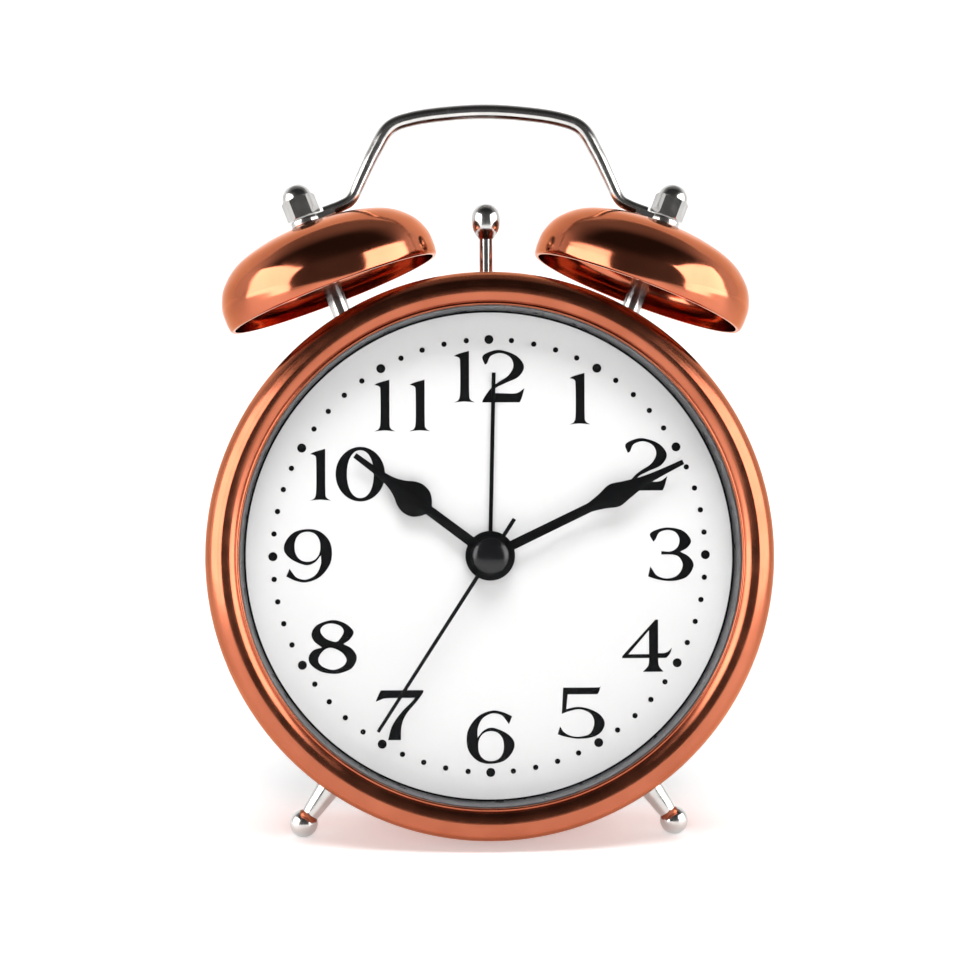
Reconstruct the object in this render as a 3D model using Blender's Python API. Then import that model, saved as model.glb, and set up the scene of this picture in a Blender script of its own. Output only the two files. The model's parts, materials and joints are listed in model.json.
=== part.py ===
"""Twin-bell alarm clock: a copper drum case with two bells, a wire handle and a quartz movement.

Everything is laid out in the clock's own frame, in millimetres: x to the viewer's right, y from
the front of the bezel towards the back, z up from the dial's centre.  The empty named clock_frame
leans that frame back until the clock stands on its two ball feet and its back cover's lower edge.
"""
import math

import bmesh
import bpy
from mathutils import Vector

MM = 0.001
GAP = 0.3                    # clearance between pieces that touch
ROUND = 40                   # sides of the case's large round pieces

# --- case: outlines are (radius, y) ---------------------------------------------------------
BEZEL_PROFILE = ((50.6, 0.9), (51.4, 0.15), (52.6, 0.05), (53.6, 0.6), (54.4, 1.5), (55.9, 1.5),
                 (57.1, 2.8), (57.5, 4.4), (57.0, 7.2), (55.8, 7.2), (55.8, 3.2), (52.7, 2.2),
                 (52.7, 1.7), (50.6, 1.7))
LENS_R = 52.4
LENS_Y = (2.0, 3.2)
RING_R = (50.3, 54.3)        # the dark wall between the lens and the dial
RING_Y = (3.5, 9.2)
DIAL_Y = (9.5, 10.1)
DIAL_R = 54.2
DIAL_HOLE_R = 3.3
DRUM_R = 55.5
DRUM_WALL = 0.8
DRUM_Y = (3.5, 41.0)
DRUM_TAPER_Y = 35.0
DRUM_SHOULDER_Y = 38.0
DRUM_SHOULDER = 0.3          # how much the radius has shrunk at the shoulder
DRUM_REAR_R = 54.4
HAMMER_SLOT = ((-6.4, 6.4), (20.6, 25.4), (49.0, 60.0))

# --- back cover -------------------------------------------------------------------------------
COVER_R = 55.2
COVER_Y = (41.3, 43.0)
COVER_RIM_Y = 44.0
COVER_RIM_R = 53.2
COVER_SPIGOT_R = 51.2
COVER_SPIGOT_Y = 37.5
COVER_CUT_Y = (35.0, 50.0)   # holes run right through the cover
COVER_ARBOR_HOLE_R = 2.0
COVER_SCREW_R = 47.0
COVER_SCREW_ANGLES = (30, 150, 270)
COVER_SCREW_HOLE_R = 1.7
COVER_SCREW_PROFILE = ((0, 36.0), (1.2, 36.0), (1.2, 43.3), (2.5, 43.3), (2.3, 44.2), (0, 44.5))
REST_DROP = 0.4              # how far the table plane cuts into the cover's lower edge
DOOR_Y = (41.6, 43.0)
DOOR_GRIP = ((-4.0, 4.0), (42.4, 43.8), (-26.2, -24.9))
SWITCH_STEM = ((27.0, 29.6), (39.4, 45.4), (12.8, 15.2))
SWITCH_FOOT = ((26.0, 30.6), (38.6, 40.9), (11.2, 16.8))
SWITCH_SLOT_X = (25.6, 34.4)
SWITCH_SLOT_Z = (12.4, 15.6)

# --- bells, handle and hammer -----------------------------------------------------------------
BELL_TILT = math.radians(21)
BELL_X = 31.7
BELL_Y = 23.0
BELL_Z = 54.7                # centre of the rim
BELL_PROFILE = ((22.7, 0.0), (23.3, 2.4), (23.0, 5.4), (21.2, 9.0),
                (17.4, 12.2), (11.6, 14.2), (5.5, 15.1))
BELL_TOP = 15.2
BELL_WALL = 0.8
BELL_WALL_SLOPE = (0, 0.1, 0.2, 0.4, 0.7, 0.9, 1.0)   # share of the wall taken off the height
POST_R = 2.0                 # spans on a bell's axis count from its rim
POST_SPAN = (-11.0, 14.1)
STUD_R = 1.2
STUD_HOLE_R = 1.5
STUD_SPAN = (-13.4, 21.8)
NUT_R = 3.1                  # inner nuts of the bells and legs, across corners
STUD_NUT_SPAN = (-12.9, -10.5)
DRUM_HOLE_SPAN = (-16, -4)
TAB_R = 3.3
TAB_SPAN = (15.5, 16.9)
TAB_REACH = 6.4
STRIP_HALF_WIDTH = 2.0
STRIP_INSET = 0.05           # the strip is this much thinner than the tab on each face
ACORN_R = 3.65
ACORN_SPAN = (17.2, 21.2)
ACORN_DOME = ((0, 19.0), (3.0, 19.0), (3.0, 21.6), (2.75, 22.7), (1.9, 23.7), (0.9, 24.15), (0, 24.3))
ACORN_BORE_SPAN = (10, 22.3)
HANDLE_NUT_GAP = 0.45        # from the acorn nut's corner to the wire's end
HANDLE_FOOT_ACROSS = 7.6     # from the bell's axis to where the wire starts to bend
HANDLE_FOOT_PULL = (-1.6, 0.9)
HANDLE_KNEE = (28.2, 74.7)
HANDLE_KNEE_END = (26.3, 78.5)
HANDLE_SHOULDER = (20.9, 89.3)
HANDLE_SHOULDER_START = 4.2  # the shoulder bends over this length of the leg
HANDLE_SHOULDER_PULL = (1.0, 1.2)
HANDLE_CROWN = 0.80          # share of the arc that is free of the shoulders' bends
HANDLE_CROWN_STEPS = 5
HANDLE_TOP_Z = 92.9
HANDLE_WIRE_R = (1.25, 1.6)  # legs, top
HANDLE_SIDES = 8
HAMMER_PIVOT_Z = 43.0
HAMMER_LEVER = ((-2.6, 29.6), (2.6, 29.6), (2.6, 54.0), (-2.6, 54.0))
HAMMER_STEM_SPAN = (52.0, 67.0)
HAMMER_WINDOW_X = (-1.2, 1.2)
HAMMER_WINDOW_Z = (30.8, 36.6)
HAMMER_BALL_Z = 69.6
HAMMER_BALL_R = (3.1, 3.95)
HAMMER_BALL_STEPS = 8
HAMMER_STEM_R = 1.4
HAMMER_Y = (22.0, 24.0)
HAMMER_CUT_Y = (20, 26)
HAMMER_HOLE_R = 1.2
PIVOT_PIN_R = 0.9
PIVOT_PIN_HEAD_R = 1.8
PIVOT_PIN_Y = (20.6, 21.7, 32.0)
BRACKET = ((-9.5, 15.0), (31.2, 32.7), (20.0, 47.5))
BRACKET_CUT_Y = (20, 40)
BRACKET_BOSS_R = 2.3
BRACKET_BOSS_Y = (24.3, 32.0)

# --- legs -------------------------------------------------------------------------------------
LEG_Y = 18.0
FOOT_X = 38.3
FOOT_Z = -55.1
FOOT_R = 2.95
FOOT_FLAT = 2.72             # from the ball's centre to its flat
FOOT_ARC = (-48, 90)         # the ball's outline, in degrees from its widest circle
FOOT_STEPS = 5
LEG_INNER_END = 49.5
LEG_SEAT_LIFT = 0.25         # the leg's collar stands this far off the drum, past the clearance
LEG_SEAT_R = (3.0, 2.75)
LEG_SEAT_HEIGHT = 0.8
LEG_NECK_R = 2.1
LEG_NECK_DROP = 3.2          # the neck ends this far above the ball's centre
LEG_NUT_SPAN = (51.6, 53.9)
LEG_NUT_BORE_SPAN = (40, 60)
LEG_DRUM_HOLE_SPAN = (50, 60)

# --- movement ---------------------------------------------------------------------------------
FRAME_Y = (11.0, 12.5)
MIDDLE_Y = (20.0, 21.0)
REAR_Y = (33.0, 34.5)
FRAME_R = 51.0
PLATE_X = 27.0
PLATE_Z = (-21.5, 27.0)
MIDDLE_X = 28.6
MIDDLE_Z = (-23.2, 28.6)
PILLARS = ((-24.0, -18.5), (24.0, -18.5), (-24.0, 24.0), (24.0, 24.0))
PILLAR_R = 2.5
PILLAR_START_Y = 11.6
SCREW_BOSS_R = 3.0
SCREW_BOSS_BORE_R = 1.5
MIDDLE_BORE_R = 2.0
REAR_BORE_R = 0.9
THROUGH_Y = (0, 60)          # bores run right through the movement
ARBOR_R = 1.2
ARBOR_END_Y = 49.0
SET_DISTANCE = 12.0          # setting arbors, from the dial's axis
SET_ANGLE = math.radians(-30)
GOING_ANGLE = math.radians(90)
ROTOR_ANGLE = math.radians(150)
ADDENDUM = 0.7               # gear tooth proportions, in modules
DEDENDUM = 1.6
TIP_HALF_WIDTH = 0.08        # in tooth pitches
FINE_MODULE = 0.25           # rotor and second wheel
COARSE_MODULE = 0.34         # second pinion and third wheel
SECOND_TEETH = 60
GOING_PINION_TEETH = 6
ROTOR_TEETH = 6
THIRD_TEETH = 45
CENTRE_TEETH = 48
CANNON_TEETH = 12
INTERMEDIATE_TEETH = 36
SETTING_PINION_TEETH = 10
HOUR_TEETH = 40
ALARM_TEETH = 36
ALARM_PINION_TEETH = 12
SECOND_BORE_R = 0.9          # bores of the pipes round the dial's axis
MINUTE_BORE_R = 1.7
HOUR_BORE_R = 2.5
ROTOR_MAGNET_R = 2.3
STATOR_X = -21.9
STATOR_REACH = 4.4           # past the rotor's axis
STATOR_HALF_HEIGHT = 4.2
STATOR_Y = (29.4, 31.2)
STATOR_BORE_R = 2.8
STATOR_ARM = ((-21.8, -19.2), (29.5, 31.1))
STATOR_ARM_END_Z = -15.4
COIL_SPOT = (-20.5, 30.3)    # x, y
COIL_R = 2.6
COIL_Z = (-13.5, -1.5)
COIL_BORE = ((-1.6, 1.6), (-1.1, 1.1), (-30, 10))
BOARD = ((-15.5, 20.0), (31.0, 32.2), (-21.0, -10.5))
KNOB_R = (5.6, 6.0)
KNOB_FLUTES = 18
KNOB_Y = (44.2, 50.6)

SECOND_HAND_ANGLE = 212.9    # degrees clockwise from twelve, at rest
MINUTE_HAND_ANGLE = 64.3
HOUR_HAND_ANGLE = 306.8
ALARM_HAND_ANGLE = 1.4
SECOND_HAND = ((42.1, 0.30),)            # (distance, half width) beyond the hub
SECOND_TAIL = ((8.9, 0.33),)
MINUTE_HAND = ((23.0, 0.95), (25.5, 1.7), (28.0, 2.45), (30.5, 1.9), (34.0, 1.15), (38.0, 0.75),
               (43.7, 0.55))
HOUR_HAND = ((14.4, 0.95), (15.6, 2.0), (17.2, 3.0), (19.4, 3.4), (21.4, 3.0), (23.4, 2.0),
             (26.0, 1.05), (29.5, 0.6), (34.3, 0.5))
ALARM_HAND = ((37.3, 0.4),)
SECOND_HUB_R = 2.4
SECOND_TAIL_HUB_R = 2.2
MINUTE_HUB_R = 4.0
HOUR_HUB_R = 5.05
ALARM_HUB_R = 4.6
SECOND_HAND_Y = (4.9, 5.2)
MINUTE_HAND_Y = (6.1, 6.5)
HOUR_HAND_Y = (7.2, 7.6)
ALARM_HAND_Y = (8.2, 8.5)
TAIL_INSET = 0.04            # the second hand's tail is this much thinner on each face
CAP_PROFILE = ((0, 3.55), (1.6, 3.65), (3.0, 3.95), (3.8, 4.3), (3.8, 4.6), (1.0, 4.6), (0.9, 4.1),
               (0, 4.1))

CAM_Z = 33.5
CAM_MODULE = 0.4
CAM_TEETH = 32
CAM_Y = (28.9, 30.7)
CAM_BORE_R = 1.1
CAM_PIN_R = 0.9
CAM_PIN_Y = (28.6, 32.0)
CRANK_R = 2.4                # crank pin's distance from the cam wheel's axis
CRANK_PIN_R = 0.8
CRANK_PIN_Y = (24.5, 29.8)
MOTOR_TEETH = 8
MOTOR_SHAFT_R = 0.6
MOTOR_SHAFT_Y = (29.8, 35.0)
MOTOR_HOLE_R = 1.8
MOTOR_PROFILE = ((0, 35.5), (0.9, 35.5), (0.9, 33.0), (4.9, 33.0), (4.9, 40.4), (0, 40.4))

# --- battery ----------------------------------------------------------------------------------
BATTERY_R = 7.1
BATTERY_X = (-24.6, 24.9)
BATTERY_CENTRE = (34.1, -32.5)   # y, z
BAY_X = 28.3
BAY_Z = (-41.1, -23.9)
BAY_Y = 26.5
BAY_WALL = 1.2
TRAY_END_Y = 42.0
BATTERY_SHOULDER_X = 23.6
BATTERY_CAP_R = 2.7
SPRING_PROFILE = ((0, -28.0), (5.0, -28.0), (3.2, -25.0), (0, -25.0))
CONTACT_PROFILE = ((0, 25.3), (5.2, 25.3), (5.2, 25.9), (0, 25.9))


# ================================ scene, materials and meshes =================================
def clear_scene():
    for old in list(bpy.data.objects):
        bpy.data.objects.remove(old, do_unlink=True)


def material(name, colour, roughness, metallic=0.0, alpha=1.0):
    made = bpy.data.materials.new(name)
    made.use_nodes = True
    shader = made.node_tree.nodes["Principled BSDF"]
    shader.inputs["Base Color"].default_value = (*colour, 1.0)
    shader.inputs["Roughness"].default_value = roughness
    shader.inputs["Metallic"].default_value = metallic
    shader.inputs["Alpha"].default_value = alpha
    made.diffuse_color = (*colour, alpha)
    return made


def empty(name, parent=None, location=(0, 0, 0), rotation=(0, 0, 0)):
    made = bpy.data.objects.new(name, None)
    bpy.context.collection.objects.link(made)
    made.parent = parent
    made.location = Vector(location) * MM
    made.rotation_euler = rotation
    return made


def oriented(point, axis):
    """A point drawn with its height as z, turned so that the height runs along the axis."""
    x, y, z = point
    return {"Z": (x, y, z), "Y": (x, z, y), "X": (z, x, y)}[axis]


def finish_mesh(bm, smooth_angle=35):
    bmesh.ops.remove_doubles(bm, verts=bm.verts, dist=1e-6)
    bmesh.ops.recalc_face_normals(bm, faces=bm.faces)
    mesh = bpy.data.meshes.new("mesh")
    bm.to_mesh(mesh)
    bm.free()
    mesh.shade_smooth()
    mesh.set_sharp_from_angle(angle=math.radians(smooth_angle))
    return mesh


def turned(profile, segments=24, axis="Y", centre=(0, 0, 0), smooth_angle=35):
    """A closed (radius, height) outline turned about the axis; radius 0 makes a pole."""
    bm = bmesh.new()
    rings = []
    for radius, height in profile:
        if radius == 0:
            rings.append([bm.verts.new(place((0, 0, height), axis, centre))])
            continue
        ring = []
        for step in range(segments):
            angle = 2 * math.pi * step / segments
            spot = (radius * math.cos(angle), radius * math.sin(angle), height)
            ring.append(bm.verts.new(place(spot, axis, centre)))
        rings.append(ring)
    for lower, upper in zip(rings, rings[1:] + rings[:1]):
        if len(lower) == 1 and len(upper) == 1:
            continue
        for step in range(segments):
            after = (step + 1) % segments
            if len(lower) == 1:
                bm.faces.new((lower[0], upper[step], upper[after]))
            elif len(upper) == 1:
                bm.faces.new((lower[step], lower[after], upper[0]))
            else:
                bm.faces.new((lower[step], lower[after], upper[after], upper[step]))
    return finish_mesh(bm, smooth_angle)


def place(spot, axis, centre):
    return (Vector(oriented(spot, axis)) + Vector(centre)) * MM


def rod(radius, low, high, segments=20, axis="Y", centre=(0, 0, 0)):
    return turned(((0, low), (radius, low), (radius, high), (0, high)), segments, axis, centre)


def tube(outer, inner, low, high, segments=20, axis="Y", centre=(0, 0, 0)):
    ring = ((inner, low), (outer, low), (outer, high), (inner, high))
    return turned(ring, segments, axis, centre)


def extruded(outline, low, high, axis="Y", centre=(0, 0, 0)):
    bm = bmesh.new()
    lower = [bm.verts.new(place((a, b, low), axis, centre)) for a, b in outline]
    base = bm.faces.new(lower)
    grown = bmesh.ops.extrude_face_region(bm, geom=[base])
    lift = Vector(oriented((0, 0, high - low), axis)) * MM
    moved = [item for item in grown["geom"] if isinstance(item, bmesh.types.BMVert)]
    bmesh.ops.translate(bm, vec=lift, verts=moved)
    return finish_mesh(bm)


def box(x_span, y_span, z_span):
    outline = [(x_span[0], z_span[0]), (x_span[1], z_span[0]),
               (x_span[1], z_span[1]), (x_span[0], z_span[1])]
    return extruded(outline, y_span[0], y_span[1])


def add(name, mesh, look, parent, location=(0, 0, 0)):
    made = bpy.data.objects.new(name, mesh)
    bpy.context.collection.objects.link(made)
    mesh.name = name
    mesh.materials.clear()
    mesh.materials.append(look)
    made.parent = parent
    made.location = Vector(location) * MM
    return made


def combine(target, mesh, operation, parent=None, location=None):
    """Apply one exact boolean of a mesh placed under the parent, or under the target's own."""
    tool = bpy.data.objects.new("tool", mesh)
    bpy.context.collection.objects.link(tool)
    tool.parent = parent or target.parent
    tool.location = target.location if location is None else Vector(location) * MM
    step = target.modifiers.new("boolean", "BOOLEAN")
    step.operation = operation
    step.solver = "EXACT"
    step.object = tool
    bpy.context.view_layer.update()
    graph = bpy.context.evaluated_depsgraph_get()
    result = bpy.data.meshes.new_from_object(target.evaluated_get(graph))
    look = target.data.materials[0]
    target.modifiers.clear()
    target.data = result
    result.name = target.name
    result.materials.clear()
    result.materials.append(look)
    for face in result.polygons:
        face.material_index = 0
    bpy.data.objects.remove(tool, do_unlink=True)
    weld(result)
    return target


def weld(mesh):
    bm = bmesh.new()
    bm.from_mesh(mesh)
    bmesh.ops.remove_doubles(bm, verts=bm.verts, dist=1e-6)
    bmesh.ops.dissolve_degenerate(bm, dist=1e-7, edges=bm.edges)
    bm.to_mesh(mesh)
    bm.free()
    mesh.shade_smooth()
    mesh.set_sharp_from_angle(angle=math.radians(35))


def cut(target, mesh, **where):
    return combine(target, mesh, "DIFFERENCE", **where)


def fuse(target, mesh, **where):
    return combine(target, mesh, "UNION", **where)


def slice_at_table(made):
    """Flatten the piece's underside on the plane that the clock stands on."""
    bpy.context.view_layer.update()
    inverse = made.matrix_world.inverted()
    point = inverse @ Vector((0, 0, 0))
    normal = (inverse.to_3x3() @ Vector((0, 0, 1))).normalized()
    bm = bmesh.new()
    bm.from_mesh(made.data)
    everything = list(bm.verts) + list(bm.edges) + list(bm.faces)
    bmesh.ops.bisect_plane(bm, geom=everything, dist=1e-7, plane_co=point,
                           plane_no=normal, clear_inner=True)
    rim = [edge for edge in bm.edges if edge.is_boundary]
    bmesh.ops.holes_fill(bm, edges=rim, sides=0)
    bmesh.ops.recalc_face_normals(bm, faces=bm.faces)
    bm.to_mesh(made.data)
    bm.free()
    made.data.shade_smooth()
    made.data.set_sharp_from_angle(angle=math.radians(35))


# ======================================= gears and hands ======================================
def gear_outline(teeth, module, phase):
    """Flat-topped teeth with V gaps about the origin, one tooth centred on the phase angle."""
    pitch_radius = module * teeth / 2
    tip = pitch_radius + ADDENDUM * module
    root = pitch_radius - DEDENDUM * module
    pitch = 2 * math.pi / teeth
    outline = []
    for tooth in range(teeth):
        middle = phase + tooth * pitch
        outline.append(polar(root, middle - pitch / 2))
        outline.append(polar(tip, middle - pitch * TIP_HALF_WIDTH))
        outline.append(polar(tip, middle + pitch * TIP_HALF_WIDTH))
    return outline


def meshed_phase(teeth, phase, partner_teeth, direction):
    """The phase of a partner whose gap takes this gear's tooth, in the given direction."""
    place_in_pitch = (direction - phase) * teeth / (2 * math.pi)
    return direction + math.pi - (0.5 - place_in_pitch) * 2 * math.pi / partner_teeth


def polar(distance, angle):
    return (distance * math.cos(angle), distance * math.sin(angle))


def hand_outline(angle, stations, hub_r):
    """A round hub, then (distance, half width) stations outwards, turned clockwise from twelve.

    The shaft leaves the hub with the first station's width.
    """
    start = math.asin(stations[0][1] / hub_r)
    sweep = 2 * (math.pi - start)
    points = []
    for step in range(17):
        turn = start + sweep * step / 16
        points.append((hub_r * math.cos(turn), hub_r * math.sin(turn)))
    points += [(distance, -half) for distance, half in stations]
    points += [(distance, half) for distance, half in reversed(stations)]
    heading = math.radians(90 - angle)
    cos_h, sin_h = math.cos(heading), math.sin(heading)
    return [(a * cos_h - b * sin_h, a * sin_h + b * cos_h) for a, b in points]


# ============================================ case ============================================
def make_case(frame, looks):
    add("bezel", turned(BEZEL_PROFILE, ROUND), looks["copper"], frame)
    add("lens", rod(LENS_R, *LENS_Y, ROUND), looks["glass"], frame)
    ring_inner, ring_outer = RING_R
    add("recess_ring", tube(ring_outer, ring_inner, *RING_Y, ROUND), looks["black_plastic"], frame)
    dial = tube(DIAL_R, DIAL_HOLE_R, *DIAL_Y, ROUND)
    add("dial_plate", dial, looks["dial_white"], frame)

    inner = DRUM_R - DRUM_WALL
    drum_profile = ((DRUM_R, DRUM_Y[0]), (DRUM_R, DRUM_TAPER_Y),
                    (DRUM_R - DRUM_SHOULDER, DRUM_SHOULDER_Y), (DRUM_REAR_R, DRUM_Y[1]),
                    (DRUM_REAR_R - DRUM_WALL, DRUM_Y[1]), (inner - DRUM_SHOULDER, DRUM_SHOULDER_Y),
                    (inner, DRUM_TAPER_Y), (inner, DRUM_Y[0]))
    drum = add("drum_case", turned(drum_profile, ROUND), looks["copper"], frame)
    cut(drum, box(*HAMMER_SLOT))
    return drum


def screw_spots():
    return [polar(COVER_SCREW_R, math.radians(angle)) for angle in COVER_SCREW_ANGLES]


def make_back_cover(frame, looks, time_spot, alarm_spot):
    profile = ((0, COVER_Y[0]), (COVER_SPIGOT_R, COVER_Y[0]), (COVER_SPIGOT_R, COVER_SPIGOT_Y),
               (COVER_RIM_R, COVER_SPIGOT_Y), (COVER_RIM_R, COVER_Y[0]), (COVER_R, COVER_Y[0]),
               (COVER_R, COVER_RIM_Y), (COVER_RIM_R, COVER_RIM_Y), (COVER_RIM_R, COVER_Y[1]),
               (0, COVER_Y[1]))
    cover = add("back_cover", turned(profile, ROUND), looks["black_plastic"], frame)
    tray_x = BAY_X + BAY_WALL
    tray = box((-tray_x, tray_x), (BAY_Y - BAY_WALL, TRAY_END_Y),
               (BAY_Z[0] - BAY_WALL, BAY_Z[1] + BAY_WALL))
    fuse(cover, tray)
    cut(cover, box((-BAY_X, BAY_X), (BAY_Y, COVER_CUT_Y[1]), BAY_Z))
    for x, z in (time_spot, alarm_spot):
        cut(cover, rod(COVER_ARBOR_HOLE_R, *COVER_CUT_Y, 12, centre=(x, 0, z)))
    for x, z in screw_spots():
        cut(cover, rod(COVER_SCREW_HOLE_R, *COVER_CUT_Y, 8, centre=(x, 0, z)))
    cut(cover, box(SWITCH_SLOT_X, COVER_CUT_Y, SWITCH_SLOT_Z))
    slice_at_table(cover)
    for number, (x, z) in enumerate(screw_spots(), 1):
        screw = turned(COVER_SCREW_PROFILE, 12)
        add(f"back_cover_screw_{number}", screw, looks["steel"], frame, (x, 0, z))

    door = box((-BAY_X + GAP, BAY_X - GAP), DOOR_Y, (BAY_Z[0] + GAP, BAY_Z[1] - GAP))
    door = add("battery_door", door, looks["black_plastic"], frame)
    fuse(door, box(*DOOR_GRIP))

    switch = add("alarm_switch", box(*SWITCH_STEM), looks["black_plastic"], frame)
    fuse(switch, box(*SWITCH_FOOT))


def make_battery(frame, looks):
    y, z = BATTERY_CENTRE
    start, end = BATTERY_X
    cell = ((0, start), (BATTERY_R, start), (BATTERY_R, BATTERY_SHOULDER_X),
            (BATTERY_CAP_R, BATTERY_SHOULDER_X), (BATTERY_CAP_R, end), (0, end))
    add("battery", turned(cell, 24, "X"), looks["battery"], frame, (0, y, z))
    spring = turned(SPRING_PROFILE, 16, "X")
    add("battery_spring_contact", spring, looks["steel"], frame, (0, y, z))
    plate = turned(CONTACT_PROFILE, 16, "X")
    add("battery_plate_contact", plate, looks["steel"], frame, (0, y, z))


# =================================== bells, handle and hammer =================================
def bell_point(side, along, across=0.0):
    """A point beside the bell's axis: along it from the rim's centre, across it towards the middle."""
    sin_t, cos_t = math.sin(BELL_TILT), math.cos(BELL_TILT)
    x = BELL_X + along * sin_t - across * cos_t
    return (side * x, BELL_Z + along * cos_t + across * sin_t)


def make_bell(side, word, frame, looks, drum):
    tilted = empty(f"{word}_bell_frame", frame, (side * BELL_X, BELL_Y, BELL_Z),
                   (0, side * BELL_TILT, 0))
    outer = list(BELL_PROFILE)
    inner = [(radius - BELL_WALL, max(height - BELL_WALL * share, 0.0))
             for (radius, height), share in zip(outer, BELL_WALL_SLOPE)]
    profile = outer + [(STUD_HOLE_R, BELL_TOP), (STUD_HOLE_R, BELL_TOP - BELL_WALL)] + inner[::-1]
    add(f"{word}_bell", turned(profile, 32, "Z"), looks["copper"], tilted)

    post = add(f"{word}_bell_post", tube(POST_R, STUD_HOLE_R, *POST_SPAN, 16, "Z"),
               looks["steel"], tilted)
    cut(post, rod(DRUM_R + GAP, 0, 50, 80), parent=frame, location=(0, 0, 0))
    add(f"{word}_bell_stud", rod(STUD_R, *STUD_SPAN, 12, "Z"), looks["steel"], tilted)
    nut = add(f"{word}_stud_nut", rod(NUT_R, *STUD_NUT_SPAN, 6, "Z"), looks["steel"], tilted)
    cut(nut, rod(STUD_HOLE_R, STUD_SPAN[0] - 1, 0, 12, "Z"))
    cut(drum, rod(STUD_HOLE_R, *DRUM_HOLE_SPAN, 12, "Z"), parent=tilted)

    acorn = add(f"{word}_acorn_nut", rod(ACORN_R, *ACORN_SPAN, 6, "Z"), looks["steel"], tilted)
    fuse(acorn, turned(ACORN_DOME, 18, "Z"))
    cut(acorn, rod(STUD_HOLE_R, *ACORN_BORE_SPAN, 12, "Z"))


def handle_centreline():
    """The wire's path from one bell to the other, with rounded knees and shoulders."""
    tab = bell_point(1, TAB_SPAN[0] + HANDLE_WIRE_R[0], ACORN_R + HANDLE_NUT_GAP)
    foot = bell_point(1, TAB_SPAN[0] + HANDLE_WIRE_R[0], HANDLE_FOOT_ACROSS)
    foot_pull = (foot[0] + HANDLE_FOOT_PULL[0], foot[1] + HANDLE_FOOT_PULL[1])
    shoulder_x, shoulder_z = HANDLE_SHOULDER
    rise = HANDLE_TOP_Z - shoulder_z
    radius = (shoulder_x ** 2 + rise ** 2) / (2 * rise)
    half = math.asin(shoulder_x / radius)
    knee = rounded(foot, foot_pull, HANDLE_KNEE, HANDLE_KNEE_END)
    leg_end = along(HANDLE_SHOULDER, HANDLE_KNEE, HANDLE_SHOULDER_START)
    crown = []
    for step in range(HANDLE_CROWN_STEPS + 1):
        angle = half * HANDLE_CROWN * (1 - step / HANDLE_CROWN_STEPS)
        crown.append((radius * math.sin(angle), HANDLE_TOP_Z - radius * (1 - math.cos(angle))))
    leg_pull, crown_pull = HANDLE_SHOULDER_PULL
    shoulder = rounded(leg_end, along(HANDLE_SHOULDER, HANDLE_KNEE, leg_pull),
                       along(HANDLE_SHOULDER, crown[0], crown_pull), crown[0])
    right = [tab] + knee + shoulder[:-1] + crown
    return right + [(-x, z) for x, z in right[-2::-1]]


def along(start, end, distance):
    span = math.dist(start, end)
    return tuple(a + (b - a) * distance / span for a, b in zip(start, end))


def rounded(p0, p1, p2, p3, steps=4):
    """Points of a cubic curve that bends from one straight run into the next."""
    points = []
    for step in range(steps + 1):
        t = step / steps
        weights = ((1 - t) ** 3, 3 * t * (1 - t) ** 2, 3 * t * t * (1 - t), t ** 3)
        points.append(tuple(sum(w * p[k] for w, p in zip(weights, (p0, p1, p2, p3))) for k in (0, 1)))
    return points


def make_handle(frame, looks):
    path = handle_centreline()
    bm = bmesh.new()
    rings = []
    for index, (x, z) in enumerate(path):
        before = path[max(index - 1, 0)]
        after = path[min(index + 1, len(path) - 1)]
        tangent = Vector((after[0] - before[0], 0, after[1] - before[1])).normalized()
        normal = Vector((-tangent.z, 0, tangent.x))
        rise = min(max((z - HANDLE_KNEE[1]) / (HANDLE_SHOULDER[1] - HANDLE_KNEE[1]), 0), 1)
        radius = HANDLE_WIRE_R[0] + (HANDLE_WIRE_R[1] - HANDLE_WIRE_R[0]) * rise
        ring = []
        for side in range(HANDLE_SIDES):
            turn = 2 * math.pi * side / HANDLE_SIDES
            offset = normal * math.cos(turn) * radius + Vector((0, math.sin(turn) * radius, 0))
            ring.append(bm.verts.new((Vector((x, BELL_Y, z)) + offset) * MM))
        rings.append(ring)
    for lower, upper in zip(rings, rings[1:]):
        for side in range(HANDLE_SIDES):
            after = (side + 1) % HANDLE_SIDES
            bm.faces.new((lower[side], lower[after], upper[after], upper[side]))
    bm.faces.new(rings[0])
    bm.faces.new(rings[-1][::-1])
    handle = add("handle", finish_mesh(bm), looks["steel"], frame)
    for side, word in ((-1, "left"), (1, "right")):
        tilted = bpy.data.objects[f"{word}_bell_frame"]
        fuse(handle, rod(TAB_R, *TAB_SPAN, 20, "Z"), parent=tilted, location=(0, 0, 0))
        inward = sorted((0, -side * TAB_REACH))
        low, high = TAB_SPAN
        strip = box(inward, (-STRIP_HALF_WIDTH, STRIP_HALF_WIDTH), (low + STRIP_INSET, high - STRIP_INSET))
        fuse(handle, strip, parent=tilted, location=(0, 0, 0))
        cut(handle, rod(STUD_HOLE_R, low - 1, high + 1, 12, "Z"), parent=tilted, location=(0, 0, 0))


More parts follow.
